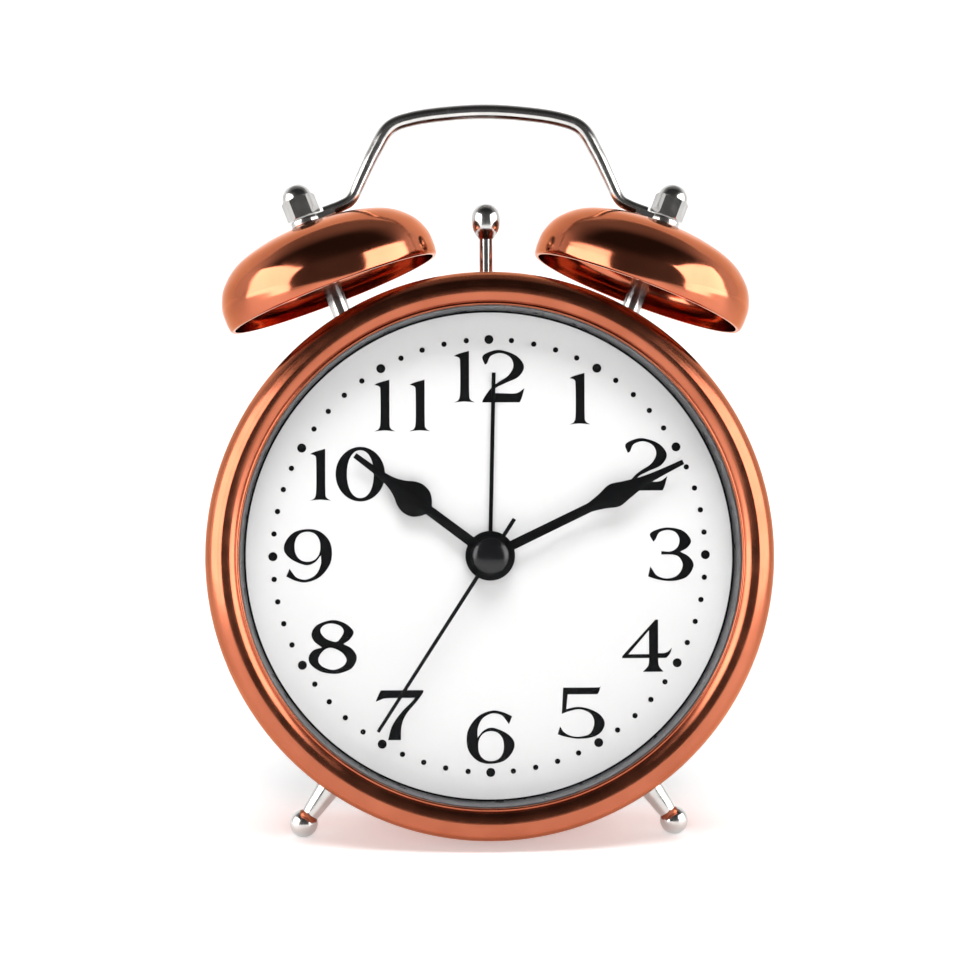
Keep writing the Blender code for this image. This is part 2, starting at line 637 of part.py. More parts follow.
def make_hammer(frame, looks):
    lever = [(x, z - HAMMER_PIVOT_Z) for x, z in HAMMER_LEVER]
    hammer = add("hammer", extruded(lever, *HAMMER_Y), looks["steel"], frame, (0, 0, HAMMER_PIVOT_Z))
    middle_y = sum(HAMMER_Y) / 2
    stem_low, stem_high = [z - HAMMER_PIVOT_Z for z in HAMMER_STEM_SPAN]
    fuse(hammer, rod(HAMMER_STEM_R, stem_low, stem_high, 16, "Z", (0, middle_y, 0)))
    wide, tall = HAMMER_BALL_R
    ball = []
    for step in range(HAMMER_BALL_STEPS + 1):
        angle = math.pi * step / HAMMER_BALL_STEPS - math.pi / 2
        radius = 0 if step in (0, HAMMER_BALL_STEPS) else wide * math.cos(angle)
        ball.append((radius, tall * math.sin(angle) + HAMMER_BALL_Z - HAMMER_PIVOT_Z))
    fuse(hammer, turned(ball, 16, "Z", (0, middle_y, 0)))
    cut(hammer, rod(HAMMER_HOLE_R, *HAMMER_CUT_Y, 16))
    window_z = [z - HAMMER_PIVOT_Z for z in HAMMER_WINDOW_Z]
    cut(hammer, box(HAMMER_WINDOW_X, HAMMER_CUT_Y, window_z))

    head_y, shank_y, end_y = PIVOT_PIN_Y
    pin = ((0, head_y), (PIVOT_PIN_HEAD_R, head_y), (PIVOT_PIN_HEAD_R, shank_y),
           (PIVOT_PIN_R, shank_y), (PIVOT_PIN_R, end_y), (0, end_y))
    add("hammer_pivot_pin", turned(pin, 16), looks["steel"], frame, (0, 0, HAMMER_PIVOT_Z))


def make_hammer_drive(frame, looks):
    """The bracket in the case carries the hammer's boss, the cam wheel's pin and the motor."""
    pivot, cam_spot = (0, 0, HAMMER_PIVOT_Z), (0, 0, CAM_Z)
    motor_spot = (CAM_MODULE * (CAM_TEETH + MOTOR_TEETH) / 2, 0, CAM_Z)
    bracket = add("hammer_bracket", box(*BRACKET), looks["steel"], frame)
    fuse(bracket, rod(BRACKET_BOSS_R, *BRACKET_BOSS_Y, 16, centre=pivot))
    cut(bracket, rod(HAMMER_HOLE_R, *BRACKET_CUT_Y, 16, centre=pivot))
    fuse(bracket, rod(CAM_PIN_R, *CAM_PIN_Y, 12, centre=cam_spot))
    cut(bracket, rod(MOTOR_HOLE_R, *BRACKET_CUT_Y, 16, centre=motor_spot))

    cam = extruded(gear_outline(CAM_TEETH, CAM_MODULE, 0), *CAM_Y)
    cam = add("cam_wheel", cam, looks["nylon"], frame, cam_spot)
    fuse(cam, rod(CRANK_PIN_R, *CRANK_PIN_Y, 12, centre=(CRANK_R, 0, 0)))
    cut(cam, rod(CAM_BORE_R, *BRACKET_CUT_Y, 12))
    phase = meshed_phase(CAM_TEETH, 0, MOTOR_TEETH, 0)
    pinion = extruded(gear_outline(MOTOR_TEETH, CAM_MODULE, phase), *CAM_Y)
    pinion = add("motor_pinion", pinion, looks["brass"], frame, motor_spot)
    fuse(pinion, rod(MOTOR_SHAFT_R, *MOTOR_SHAFT_Y, 12))
    add("hammer_motor", turned(MOTOR_PROFILE, 24), looks["steel"], frame, motor_spot)


# ============================================ legs ============================================
def make_leg(side, word, frame, looks, drum):
    reach = math.hypot(FOOT_X, FOOT_Z)
    splay = math.atan2(FOOT_X, -FOOT_Z)
    radial = empty(f"{word}_leg_frame", frame, (0, LEG_Y, 0), (0, math.pi - side * splay, 0))
    seat = DRUM_R + GAP + LEG_SEAT_LIFT
    seat_bottom_r, seat_top_r = LEG_SEAT_R
    profile = [(0, LEG_INNER_END), (STUD_R, LEG_INNER_END), (STUD_R, seat), (seat_bottom_r, seat),
               (seat_top_r, seat + LEG_SEAT_HEIGHT), (LEG_NECK_R, reach - LEG_NECK_DROP)]
    start, end = FOOT_ARC
    for step in range(FOOT_STEPS + 1):
        angle = math.radians(start + (end - start) * step / FOOT_STEPS)
        radius = 0 if step == FOOT_STEPS else FOOT_R * math.cos(angle)
        profile.append((radius, reach + FOOT_R * math.sin(angle)))
    leg = add(f"{word}_leg", turned(profile, 16, "Z"), looks["steel"], radial)
    slice_at_table(leg)
    nut = add(f"{word}_leg_nut", rod(NUT_R, *LEG_NUT_SPAN, 6, "Z"), looks["steel"], radial)
    cut(nut, rod(STUD_HOLE_R, *LEG_NUT_BORE_SPAN, 12, "Z"))
    cut(drum, rod(STUD_HOLE_R, *LEG_DRUM_HOLE_SPAN, 12, "Z"), parent=radial)


# ======================================== quartz movement =====================================
def make_plates(frame, looks, spots):
    plate = add("movement_frame", rod(FRAME_R, *FRAME_Y, 40), looks["grey_plastic"], frame)
    for x, z in PILLARS:
        fuse(plate, rod(PILLAR_R, PILLAR_START_Y, REAR_Y[0] - GAP, 10, centre=(x, 0, z)))
    for x, z in screw_spots():
        fuse(plate, rod(SCREW_BOSS_R, PILLAR_START_Y, COVER_Y[0] - GAP, 12, centre=(x, 0, z)))
        cut(plate, rod(SCREW_BOSS_BORE_R, *COVER_CUT_Y, 8, centre=(x, 0, z)))
    cut(plate, rod(DIAL_HOLE_R, *THROUGH_Y, 20))

    middle = add("movement_middle_plate", box((-MIDDLE_X, MIDDLE_X), MIDDLE_Y, MIDDLE_Z),
                 looks["grey_plastic"], frame)
    rear = add("movement_rear_plate", box((-PLATE_X, PLATE_X), REAR_Y, PLATE_Z),
               looks["grey_plastic"], frame)
    for x, z in PILLARS:
        cut(middle, rod(PILLAR_R + 2 * GAP, *THROUGH_Y, 8, centre=(x, 0, z)))
    cut(middle, rod(MIDDLE_BORE_R, *THROUGH_Y, 12))
    cut(rear, rod(REAR_BORE_R, *THROUGH_Y, 12))
    for x, z in spots:
        cut(middle, rod(ARBOR_R + 2 * GAP, *THROUGH_Y, 8, centre=(x, 0, z)))
        cut(rear, rod(ARBOR_R + 2 * GAP, *THROUGH_Y, 8, centre=(x, 0, z)))


def geared(name, look, frame, spot, gears, rods, bore=None):
    """Gears (teeth, module, phase, y span) and rods (radius, y span) fused on one arbor."""
    meshes = [extruded(gear_outline(*shape), *span) for *shape, span in gears]
    made = add(name, meshes[0], look, frame, (spot[0], 0, spot[1]))
    for mesh in meshes[1:]:
        fuse(made, mesh)
    for radius, span in rods:
        fuse(made, rod(radius, *span, 12))
    if bore:
        cut(made, rod(bore, *THROUGH_Y, 12))


def make_going_train(frame, looks):
    """Second wheel on the dial's axis, third wheel above it, centre wheel back on the axis."""
    distance = COARSE_MODULE * (GOING_PINION_TEETH + THIRD_TEETH) / 2
    slow = 2 * distance / (GOING_PINION_TEETH + CENTRE_TEETH)
    geared("second_wheel", looks["nylon"], frame, (0, 0),
           [(SECOND_TEETH, FINE_MODULE, 0, (27.0, 28.0)),
            (GOING_PINION_TEETH, COARSE_MODULE, 0, (24.7, 27.4))],
           [(0.6, (4.4, 33.8))])
    phase = meshed_phase(GOING_PINION_TEETH, 0, THIRD_TEETH, GOING_ANGLE)
    geared("third_wheel", looks["nylon"], frame, polar(distance, GOING_ANGLE),
           [(THIRD_TEETH, COARSE_MODULE, phase, (24.9, 25.9)),
            (GOING_PINION_TEETH, slow, phase, (21.9, 25.3))],
           [(0.5, (21.3, 32.7))])
    centre_phase = meshed_phase(GOING_PINION_TEETH, phase, CENTRE_TEETH, GOING_ANGLE + math.pi)
    geared("centre_wheel", looks["nylon"], frame, (0, 0),
           [(CENTRE_TEETH, slow, centre_phase, (22.2, 23.2))], [], SECOND_BORE_R)


def make_stepper(frame, looks):
    """The rotor turns the second wheel; the stator's bore surrounds its magnet."""
    spot = polar(FINE_MODULE * (ROTOR_TEETH + SECOND_TEETH) / 2, ROTOR_ANGLE)
    phase = meshed_phase(SECOND_TEETH, 0, ROTOR_TEETH, ROTOR_ANGLE)
    geared("stepper_rotor", looks["steel"], frame, spot,
           [(ROTOR_TEETH, FINE_MODULE, phase, (26.8, 29.2))], [(ROTOR_MAGNET_R, (28.9, 32.2))])
    x, z = spot
    stator = box((STATOR_X, x + STATOR_REACH), STATOR_Y, (z - STATOR_HALF_HEIGHT, z + STATOR_HALF_HEIGHT))
    stator = add("stepper_stator", stator, looks["steel"], frame)
    cut(stator, rod(STATOR_BORE_R, *THROUGH_Y, 20, centre=(x, 0, z)))
    fuse(stator, box(*STATOR_ARM, (STATOR_ARM_END_Z, z)))
    coil = rod(COIL_R, *COIL_Z, 20, "Z")
    coil = add("stepper_coil", coil, looks["enamel_wire"], frame, (*COIL_SPOT, 0))
    cut(coil, box(*COIL_BORE))
    add("circuit_board", box(*BOARD), looks["board_green"], frame)


def make_motion_work(frame, looks, time_spot, alarm_spot):
    """Cannon pinion, intermediate wheel and hour wheel; the alarm wheel and its setting arbor."""
    fast = 2 * SET_DISTANCE / (CANNON_TEETH + INTERMEDIATE_TEETH)
    slow = 2 * SET_DISTANCE / (SETTING_PINION_TEETH + HOUR_TEETH)
    geared("minute_arbor", looks["brass"], frame, (0, 0),
           [(CANNON_TEETH, fast, 0, (17.5, 19.5))], [(1.4, (5.9, 21.8)), (2.7, (21.3, 21.9))],
           SECOND_BORE_R)
    phase = meshed_phase(CANNON_TEETH, 0, INTERMEDIATE_TEETH, SET_ANGLE)
    geared("intermediate_wheel", looks["nylon"], frame, time_spot,
           [(INTERMEDIATE_TEETH, fast, phase, (17.8, 19.2)),
            (SETTING_PINION_TEETH, slow, phase, (14.3, 18.4))],
           [(0.8, (12.9, 18.0)), (ARBOR_R, (18.6, ARBOR_END_Y))])
    hour_phase = meshed_phase(SETTING_PINION_TEETH, phase, HOUR_TEETH, SET_ANGLE + math.pi)
    geared("hour_wheel", looks["nylon"], frame, (0, 0),
           [(HOUR_TEETH, slow, hour_phase, (14.6, 15.8))], [(2.2, (7.0, 15.9))], MINUTE_BORE_R)

    geared("alarm_wheel", looks["nylon"], frame, (0, 0),
           [(ALARM_TEETH, fast, 0, (12.8, 13.8))], [(3.0, (8.0, 13.9))], HOUR_BORE_R)
    towards = math.atan2(alarm_spot[1], alarm_spot[0])
    alarm_phase = meshed_phase(ALARM_TEETH, 0, ALARM_PINION_TEETH, towards)
    geared("alarm_set_arbor", looks["steel"], frame, alarm_spot,
           [(ALARM_PINION_TEETH, fast, alarm_phase, (12.8, 14.2))],
           [(ARBOR_R, (13.9, ARBOR_END_Y))])


def make_knobs(frame, looks, time_spot, alarm_spot):
    flutes = []
    for step in range(2 * KNOB_FLUTES):
        flutes.append(polar(KNOB_R[step % 2], math.pi * step / KNOB_FLUTES))
    for name, (x, z) in (("time_set_knob", time_spot), ("alarm_set_knob", alarm_spot)):
        knob = add(name, extruded(flutes, *KNOB_Y), looks["black_plastic"], frame, (x, 0, z))
        cut(knob, rod(STUD_HOLE_R, KNOB_Y[0] - 1, ARBOR_END_Y + GAP, 12))


def make_hands(frame, looks):
    sheets = (("second_hand", SECOND_HAND_ANGLE, SECOND_HAND, SECOND_HUB_R, SECOND_HAND_Y, SECOND_BORE_R),
              ("minute_hand", MINUTE_HAND_ANGLE, MINUTE_HAND, MINUTE_HUB_R, MINUTE_HAND_Y, MINUTE_BORE_R),
              ("hour_hand", HOUR_HAND_ANGLE, HOUR_HAND, HOUR_HUB_R, HOUR_HAND_Y, HOUR_BORE_R),
              ("alarm_hand", ALARM_HAND_ANGLE, ALARM_HAND, ALARM_HUB_R, ALARM_HAND_Y, DIAL_HOLE_R))
    for name, angle, stations, hub_r, span, bore in sheets:
        blade = extruded(hand_outline(angle, stations, hub_r), *span)
        hand = add(name, blade, looks["black_paint"], frame)
        if name == "second_hand":
            tail = hand_outline(angle + 180, SECOND_TAIL, SECOND_TAIL_HUB_R)
            fuse(hand, extruded(tail, span[0] + TAIL_INSET, span[1] - TAIL_INSET))
        cut(hand, rod(bore, *THROUGH_Y, 16))
    add("hand_cap", turned(CAP_PROFILE, 18), looks["black_paint"], frame)


# ========================================= whole clock ========================================
def lean_angle():
    """How far the clock leans back, resting on the feet's flats and the cover's lower edge."""
    back = COVER_RIM_Y - LEG_Y
    up = FOOT_Z + (COVER_R - REST_DROP)
    return math.asin(FOOT_FLAT / math.hypot(back, up)) - math.atan2(up, back)


def clock_frame():
    lean = lean_angle()
    height = LEG_Y * math.sin(lean) - FOOT_Z * math.cos(lean) + FOOT_FLAT
    frame = empty("clock_frame", None, (0, 0, height), (-lean, 0, 0))
    bpy.context.view_layer.update()
    return frame


def centre_over_origin(frame):
    """Slide the clock along y until its box is centred on the origin."""
    bpy.context.view_layer.update()
    depths = []
    for made in bpy.context.scene.objects:
        if made.type == "MESH":
            depths += [(made.matrix_world @ vertex.co).y for vertex in made.data.vertices]
    frame.location.y -= (min(depths) + max(depths)) / 2
    bpy.context.view_layer.update()


def make_looks():
    return {
        "copper": material("copper", (0.72, 0.33, 0.20), 0.16, 1.0),
        "steel": material("steel", (0.62, 0.61, 0.60), 0.22, 1.0),
        "glass": material("glass", (0.95, 0.97, 0.97), 0.02, 0.0, 0.2),
        "dial_white": material("dial_white", (0.90, 0.90, 0.90), 0.55),
        "black_plastic": material("black_plastic", (0.02, 0.02, 0.02), 0.35),
        "black_paint": material("black_paint", (0.01, 0.01, 0.01), 0.4),
        "grey_plastic": material("grey_plastic", (0.25, 0.25, 0.26), 0.5),
        "nylon": material("nylon", (0.85, 0.84, 0.78), 0.45),
        "brass": material("brass", (0.75, 0.58, 0.28), 0.3, 1.0),
        "enamel_wire": material("enamel_wire", (0.55, 0.20, 0.08), 0.35, 0.6),
        "board_green": material("board_green", (0.04, 0.22, 0.09), 0.5),
        "battery": material("battery", (0.10, 0.11, 0.13), 0.35),
    }


def main():
    clear_scene()
    looks = make_looks()
    frame = clock_frame()
    time_spot = polar(SET_DISTANCE, SET_ANGLE)
    alarm_spot = polar(SET_DISTANCE, math.pi - SET_ANGLE)
    drum = make_case(frame, looks)
    for side, word in ((-1, "left"), (1, "right")):
        make_bell(side, word, frame, looks, drum)
        make_leg(side, word, frame, looks, drum)
    make_handle(frame, looks)
    make_hammer(frame, looks)
    make_hammer_drive(frame, looks)
    make_back_cover(frame, looks, time_spot, alarm_spot)
    make_battery(frame, looks)
    make_plates(frame, looks, (time_spot, alarm_spot))
    make_going_train(frame, looks)
    make_stepper(frame, looks)
    make_motion_work(frame, looks, time_spot, alarm_spot)
    make_knobs(frame, looks, time_spot, alarm_spot)
    make_hands(frame, looks)
    centre_over_origin(frame)


main()
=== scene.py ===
"""Looks of the twin-bell alarm clock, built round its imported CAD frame.

Lengths are in millimetres and in the clock's own frame: x right, y back from the bezel's front, z up
the dial. MM turns them into metres. Outlines are (radius, height along the axis) pairs.
"""
import json
import math

import bmesh
import bpy
import numpy as np
from mathutils import Matrix, Vector


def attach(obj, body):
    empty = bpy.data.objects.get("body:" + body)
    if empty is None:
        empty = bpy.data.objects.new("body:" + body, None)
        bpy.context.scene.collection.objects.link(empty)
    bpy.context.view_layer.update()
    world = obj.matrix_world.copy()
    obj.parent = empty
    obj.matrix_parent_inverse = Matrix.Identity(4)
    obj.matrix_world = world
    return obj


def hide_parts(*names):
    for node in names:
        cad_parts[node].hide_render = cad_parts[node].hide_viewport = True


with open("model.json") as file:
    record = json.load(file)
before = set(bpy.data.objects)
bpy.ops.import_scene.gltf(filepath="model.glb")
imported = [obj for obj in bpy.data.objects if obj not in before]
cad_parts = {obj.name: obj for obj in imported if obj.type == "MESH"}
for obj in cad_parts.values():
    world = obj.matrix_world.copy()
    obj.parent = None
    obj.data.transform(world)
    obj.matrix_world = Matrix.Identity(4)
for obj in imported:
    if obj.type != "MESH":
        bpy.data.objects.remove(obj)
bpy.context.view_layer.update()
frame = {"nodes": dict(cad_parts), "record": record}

MM = 0.001
CORNER = True
SHARP_ANGLE = 38
MERGE_M = 1e-7
POLE_R = 1e-6
FINE_ROUND = 256
ROUND = 192
SMALL_ROUND = 48
BEZEL_SETBACK = 0.05         # from y = 0 to the front of the CAD's bezel


# ================================== frames taken from the CAD =================================
def node_points(name):
    node = frame["nodes"][name]
    return np.array([node.matrix_world @ vertex.co for vertex in node.data.vertices])


def clock_matrix():
    """The clock's own frame: x right, y back from the bezel's front, z up the leaning dial."""
    joint = next(j for j in frame["record"]["behaviour"]["joints"] if j["name"] == "minute_hand_spin")
    right = Vector((1, 0, 0))
    back = Vector(joint["axis"]).normalized()
    up = right.cross(back)
    front = float((node_points("bezel") @ np.array(back)).min()) - BEZEL_SETBACK * MM
    spot = Vector(joint["pos_m"])
    origin = spot + back * (front - spot.dot(back))
    matrix = Matrix((right, back, up)).transposed().to_4x4()
    matrix.translation = origin
    return matrix


def bell_matrix(word):
    """A frame at the centre of a bell's rim, with z along its stud."""
    points = node_points(f"{word}_bell_stud")
    middle = points.mean(axis=0)
    direction = np.linalg.svd(points - middle)[2][0]
    direction *= math.copysign(1, direction[2])
    rim = ((node_points(f"{word}_bell") - middle) @ direction).min()
    up = Vector(direction)
    back = CLOCK.to_3x3() @ Vector((0, 1, 0))
    right = back.cross(up).normalized()
    matrix = Matrix((right, back, up)).transposed().to_4x4()
    matrix.translation = Vector(middle + direction * rim)
    return matrix


def leg_matrix(word):
    """A frame on the dial's axis, with z outwards along a leg."""
    nut = CLOCK.inverted() @ Vector(node_points(f"{word}_leg_nut").mean(axis=0))
    outward = Vector((nut.x, 0, nut.z)).normalized()
    back = Vector((0, 1, 0))
    right = back.cross(outward)
    matrix = Matrix((right, back, outward)).transposed().to_4x4()
    matrix.translation = Vector((0, nut.y, 0))
    return CLOCK @ matrix


CLOCK = clock_matrix()


def spot_of(joint_name):
    """Where a joint's axis crosses the dial, in the clock's frame, in millimetres."""
    joint = next(j for j in frame["record"]["behaviour"]["joints"] if j["name"] == joint_name)
    spot = (CLOCK.inverted() @ Vector(joint["pos_m"])) / MM
    return spot.x, spot.z


# ========================================= mesh tools =========================================
def flow(points, steps=6, closed=False):
    """A smooth line through the points; a point marked CORNER keeps its angle."""
    spots = [Vector(point[:2]) for point in points]
    sharp = [len(point) > 2 for point in points]
    count = len(spots)
    if not closed:
        sharp[0] = sharp[-1] = True
    line = []
    for i in range(count if closed else count - 1):
        j = (i + 1) % count
        start, end = spots[i], spots[j]
        if sharp[i] and sharp[j]:
            line.append(start)
            continue
        leave = end - start if sharp[i] else (end - spots[i - 1]) / 2
        arrive = end - start if sharp[j] else (spots[(j + 1) % count] - start) / 2
        for step in range(steps):
            t = step / steps
            line.append(start * (2 * t ** 3 - 3 * t ** 2 + 1) + leave * (t ** 3 - 2 * t ** 2 + t)
                        + end * (3 * t ** 2 - 2 * t ** 3) + arrive * (t ** 3 - t ** 2))
    if not closed:
        line.append(spots[-1])
    return [(point.x, point.y) for point in line]


def arc(centre, radius, start, end, steps):
    """Points of a circular arc, angles in degrees."""
    points = []
    for step in range(steps + 1):
        angle = math.radians(start + (end - start) * step / steps)
        points.append((centre[0] + radius * math.cos(angle), centre[1] + radius * math.sin(angle)))
    return points


def polar(distance, angle):
    return distance * math.cos(angle), distance * math.sin(angle)


def oriented(point, axis):
    """The point's third number goes along the axis, Y or Z."""
    x, y, z = point
    return (x, z, y) if axis == "Y" else (x, y, z)


def place(point, axis, centre):
    return (Vector(oriented(point, axis)) + Vector(centre)) * MM


def finish_mesh(bm, smooth_angle=SHARP_ANGLE):
    """The mesh, with edges sharper than smooth_angle kept as edges."""
    bmesh.ops.remove_doubles(bm, verts=bm.verts, dist=MERGE_M)
    bmesh.ops.recalc_face_normals(bm, faces=bm.faces)
    mesh = bpy.data.meshes.new("mesh")
    bm.to_mesh(mesh)
    bm.free()
    mesh.shade_smooth()
    mesh.set_sharp_from_angle(angle=math.radians(smooth_angle))
    return mesh


def turned(profile, segments, axis="Y", centre=(0, 0, 0)):
    """A closed (radius, height) outline turned about the axis; radius 0 makes a pole."""
    bm = bmesh.new()
    rings = []
    for radius, height in profile:
        if radius < POLE_R:
            rings.append([bm.verts.new(place((0, 0, height), axis, centre))])
            continue
        ring = []
        for step in range(segments):
            x, y = polar(radius, 2 * math.pi * step / segments)
            ring.append(bm.verts.new(place((x, y, height), axis, centre)))
        rings.append(ring)
    for lower, upper in zip(rings, rings[1:] + rings[:1]):
        if len(lower) == 1 and len(upper) == 1:
            continue
        for step in range(segments):
            after = (step + 1) % segments
            if len(lower) == 1:
                bm.faces.new((lower[0], upper[step], upper[after]))
            elif len(upper) == 1:
                bm.faces.new((lower[step], lower[after], upper[0]))
            else:
                bm.faces.new((lower[step], lower[after], upper[after], upper[step]))
    return finish_mesh(bm)


def rod(radius, low, high, segments, axis="Y", centre=(0, 0, 0), edge=0.0):
    """A round bar whose two rims are rounded by the edge radius."""
    profile = [(0, low)]
    if edge:
        profile += arc((radius - edge, low + edge), edge, -90, 0, 4)
        profile += arc((radius - edge, high - edge), edge, 0, 90, 4)
    else:
        profile += [(radius, low), (radius, high)]
    return turned(profile + [(0, high)], segments, axis, centre)


def extruded(outline, low, high, axis="Y", centre=(0, 0, 0)):
    bm = bmesh.new()
    base = bm.faces.new([bm.verts.new(place((a, b, low), axis, centre)) for a, b in outline])
    grown = bmesh.ops.extrude_face_region(bm, geom=[base])
    lift = Vector(oriented((0, 0, high - low), axis)) * MM
    moved = [item for item in grown["geom"] if isinstance(item, bmesh.types.BMVert)]
    bmesh.ops.translate(bm, vec=lift, verts=moved)
    return finish_mesh(bm)


def box(x_span, y_span, z_span):
    outline = [(x_span[0], z_span[0]), (x_span[1], z_span[0]),
               (x_span[1], z_span[1]), (x_span[0], z_span[1])]
    return extruded(outline, y_span[0], y_span[1])


def add(name, mesh, look, matrix):
    mesh.name = name
    mesh.materials.clear()
    mesh.materials.append(look)
    made = bpy.data.objects.new(name, mesh)
    bpy.context.collection.objects.link(made)
    made.matrix_world = matrix
    return made


def applied(made):
    """The object's mesh with its modifiers applied."""
    bpy.context.view_layer.update()
    graph = bpy.context.evaluated_depsgraph_get()
    result = bpy.data.meshes.new_from_object(made.evaluated_get(graph))
    look = made.data.materials[0]
    made.modifiers.clear()
    made.data = result
    result.name = made.name
    result.materials.clear()
    result.materials.append(look)
    for face in result.polygons:
        face.material_index = 0
    result.shade_smooth()
    result.set_sharp_from_angle(angle=math.radians(SHARP_ANGLE))
    return made


def combine(made, mesh, operation, matrix=None):
    tool = bpy.data.objects.new("tool", mesh)
    bpy.context.collection.objects.link(tool)
    tool.matrix_world = made.matrix_world if matrix is None else matrix
    step = made.modifiers.new("boolean", "BOOLEAN")
    step.operation = operation
    step.solver = "EXACT"
    step.object = tool
    applied(made)
    bpy.data.objects.remove(tool, do_unlink=True)
    return made


def cut(made, mesh, matrix=None):
    return combine(made, mesh, "DIFFERENCE", matrix)


def fuse(made, mesh, matrix=None):
    return combine(made, mesh, "UNION", matrix)


def soften(made, width_mm, angle=SHARP_ANGLE):
    """Round the piece's sharp edges."""
    step = made.modifiers.new("bevel", "BEVEL")
    step.width = width_mm * MM
    step.segments = 2
    step.limit_method = "ANGLE"
    step.angle_limit = math.radians(angle)
    step.harden_normals = False
    return applied(made)


def slice_at_table(made):
    """Flatten the piece's underside on the table."""
    bpy.context.view_layer.update()
    inverse = made.matrix_world.inverted()
    point = inverse @ Vector((0, 0, 0))
    normal = (inverse.to_3x3() @ Vector((0, 0, 1))).normalized()
    bm = bmesh.new()
    bm.from_mesh(made.data)
    everything = list(bm.verts) + list(bm.edges) + list(bm.faces)
    bmesh.ops.bisect_plane(bm, geom=everything, dist=MERGE_M, plane_co=point,
                           plane_no=normal, clear_inner=True)
    bmesh.ops.holes_fill(bm, edges=[edge for edge in bm.edges if edge.is_boundary], sides=0)
    bmesh.ops.recalc_face_normals(bm, faces=bm.faces)
    bm.to_mesh(made.data)
    bm.free()
    made.data.shade_smooth()
    made.data.set_sharp_from_angle(angle=math.radians(SHARP_ANGLE))
    return made


def stand_in(made, body, slot, *nodes):
    """The piece rides on a body and stands for its CAD nodes, which it hides; the slot is not used."""
    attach(made, body)
    if nodes:
        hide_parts(*nodes)
    return made


# ========================================== materials =========================================
NOISE_SPAN = (0.3, 0.7)


def map_range(nodes, links, source, given, wanted, kind="LINEAR"):
    """The source, with the given span of its values carried over to the wanted one."""
    spread = nodes.new("ShaderNodeMapRange")
    spread.interpolation_type = kind
    for words, span in (("From", given), ("To", wanted)):
        spread.inputs[words + " Min"].default_value = span[0]
        spread.inputs[words + " Max"].default_value = span[1]
    links.new(source, spread.inputs["Value"])
    return spread.outputs["Result"]


class Look:
    """A Principled material whose colour, roughness and bump are driven by procedural textures."""

    def __init__(self, name, colour, roughness, metallic=0.0):
        self.material = bpy.data.materials.new(name)
        self.material.use_nodes = True
        self.nodes = self.material.node_tree.nodes
        self.links = self.material.node_tree.links
        self.shader = self.nodes["Principled BSDF"]
        self.shader.inputs["Base Color"].default_value = (*colour, 1)
        self.shader.inputs["Roughness"].default_value = roughness
        self.shader.inputs["Metallic"].default_value = metallic
        self.coords = self.nodes.new("ShaderNodeTexCoord").outputs["Object"]
        self.normal = None

    def noise(self, size_mm, detail=3.0, stretch=(1, 1, 1), kind="NOISE"):
        """A texture whose features are about size_mm, stretched along the object's axes."""
        mapping = self.nodes.new("ShaderNodeMapping")
        mapping.inputs["Scale"].default_value = [1 / (size_mm * MM * s) for s in stretch]
        self.links.new(self.coords, mapping.inputs["Vector"])
        if kind == "VORONOI":
            texture = self.nodes.new("ShaderNodeTexVoronoi")
            texture.inputs["Scale"].default_value = 1.0
            output = texture.outputs["Distance"]
        else:
            texture = self.nodes.new("ShaderNodeTexNoise")
            texture.inputs["Scale"].default_value = 1.0
            texture.inputs["Detail"].default_value = detail
            output = texture.outputs["Fac"]
        self.links.new(mapping.outputs["Vector"], texture.inputs["Vector"])
        return output

    def rings(self, size_mm):
        """Fine lines about the object's Y axis, about size_mm apart."""
        flat = self.nodes.new("ShaderNodeVectorMath")
        flat.operation = "MULTIPLY"
        flat.inputs[1].default_value = (1 / (size_mm * MM), 0, 1 / (size_mm * MM))
        self.links.new(self.coords, flat.inputs[0])
        distance = self.nodes.new("ShaderNodeVectorMath")
        distance.operation = "LENGTH"
        self.links.new(flat.outputs["Vector"], distance.inputs[0])
        texture = self.nodes.new("ShaderNodeTexNoise")
        texture.noise_dimensions = "1D"
        texture.inputs["Scale"].default_value = 1.0
        texture.inputs["Detail"].default_value = 2.0
        self.links.new(distance.outputs["Value"], texture.inputs["W"])
        return texture.outputs["Fac"]

    def colours(self, source, low, high):
        ramp = self.nodes.new("ShaderNodeValToRGB")
        for element, position, colour in zip(ramp.color_ramp.elements, NOISE_SPAN, (low, high)):
            element.position = position
            element.color = (*colour, 1)
        self.links.new(source, ramp.inputs["Fac"])
        self.links.new(ramp.outputs["Color"], self.shader.inputs["Base Color"])
        return self

    def roughness(self, source, low, high):
        spread = map_range(self.nodes, self.links, source, NOISE_SPAN, (low, high))
        self.links.new(spread, self.shader.inputs["Roughness"])
        return self

    def bump(self, source, depth_mm, strength=1.0):
        node = self.nodes.new("ShaderNodeBump")
        node.inputs["Strength"].default_value = strength
        node.inputs["Distance"].default_value = depth_mm * MM
        self.links.new(source, node.inputs["Height"])
        if self.normal:
            self.links.new(self.normal, node.inputs["Normal"])
        self.normal = node.outputs["Normal"]
        self.links.new(self.normal, self.shader.inputs["Normal"])
        return self

    def set(self, **sockets):
        for name, value in sockets.items():
            self.shader.inputs[name.replace("_", " ")].default_value = value
        return self


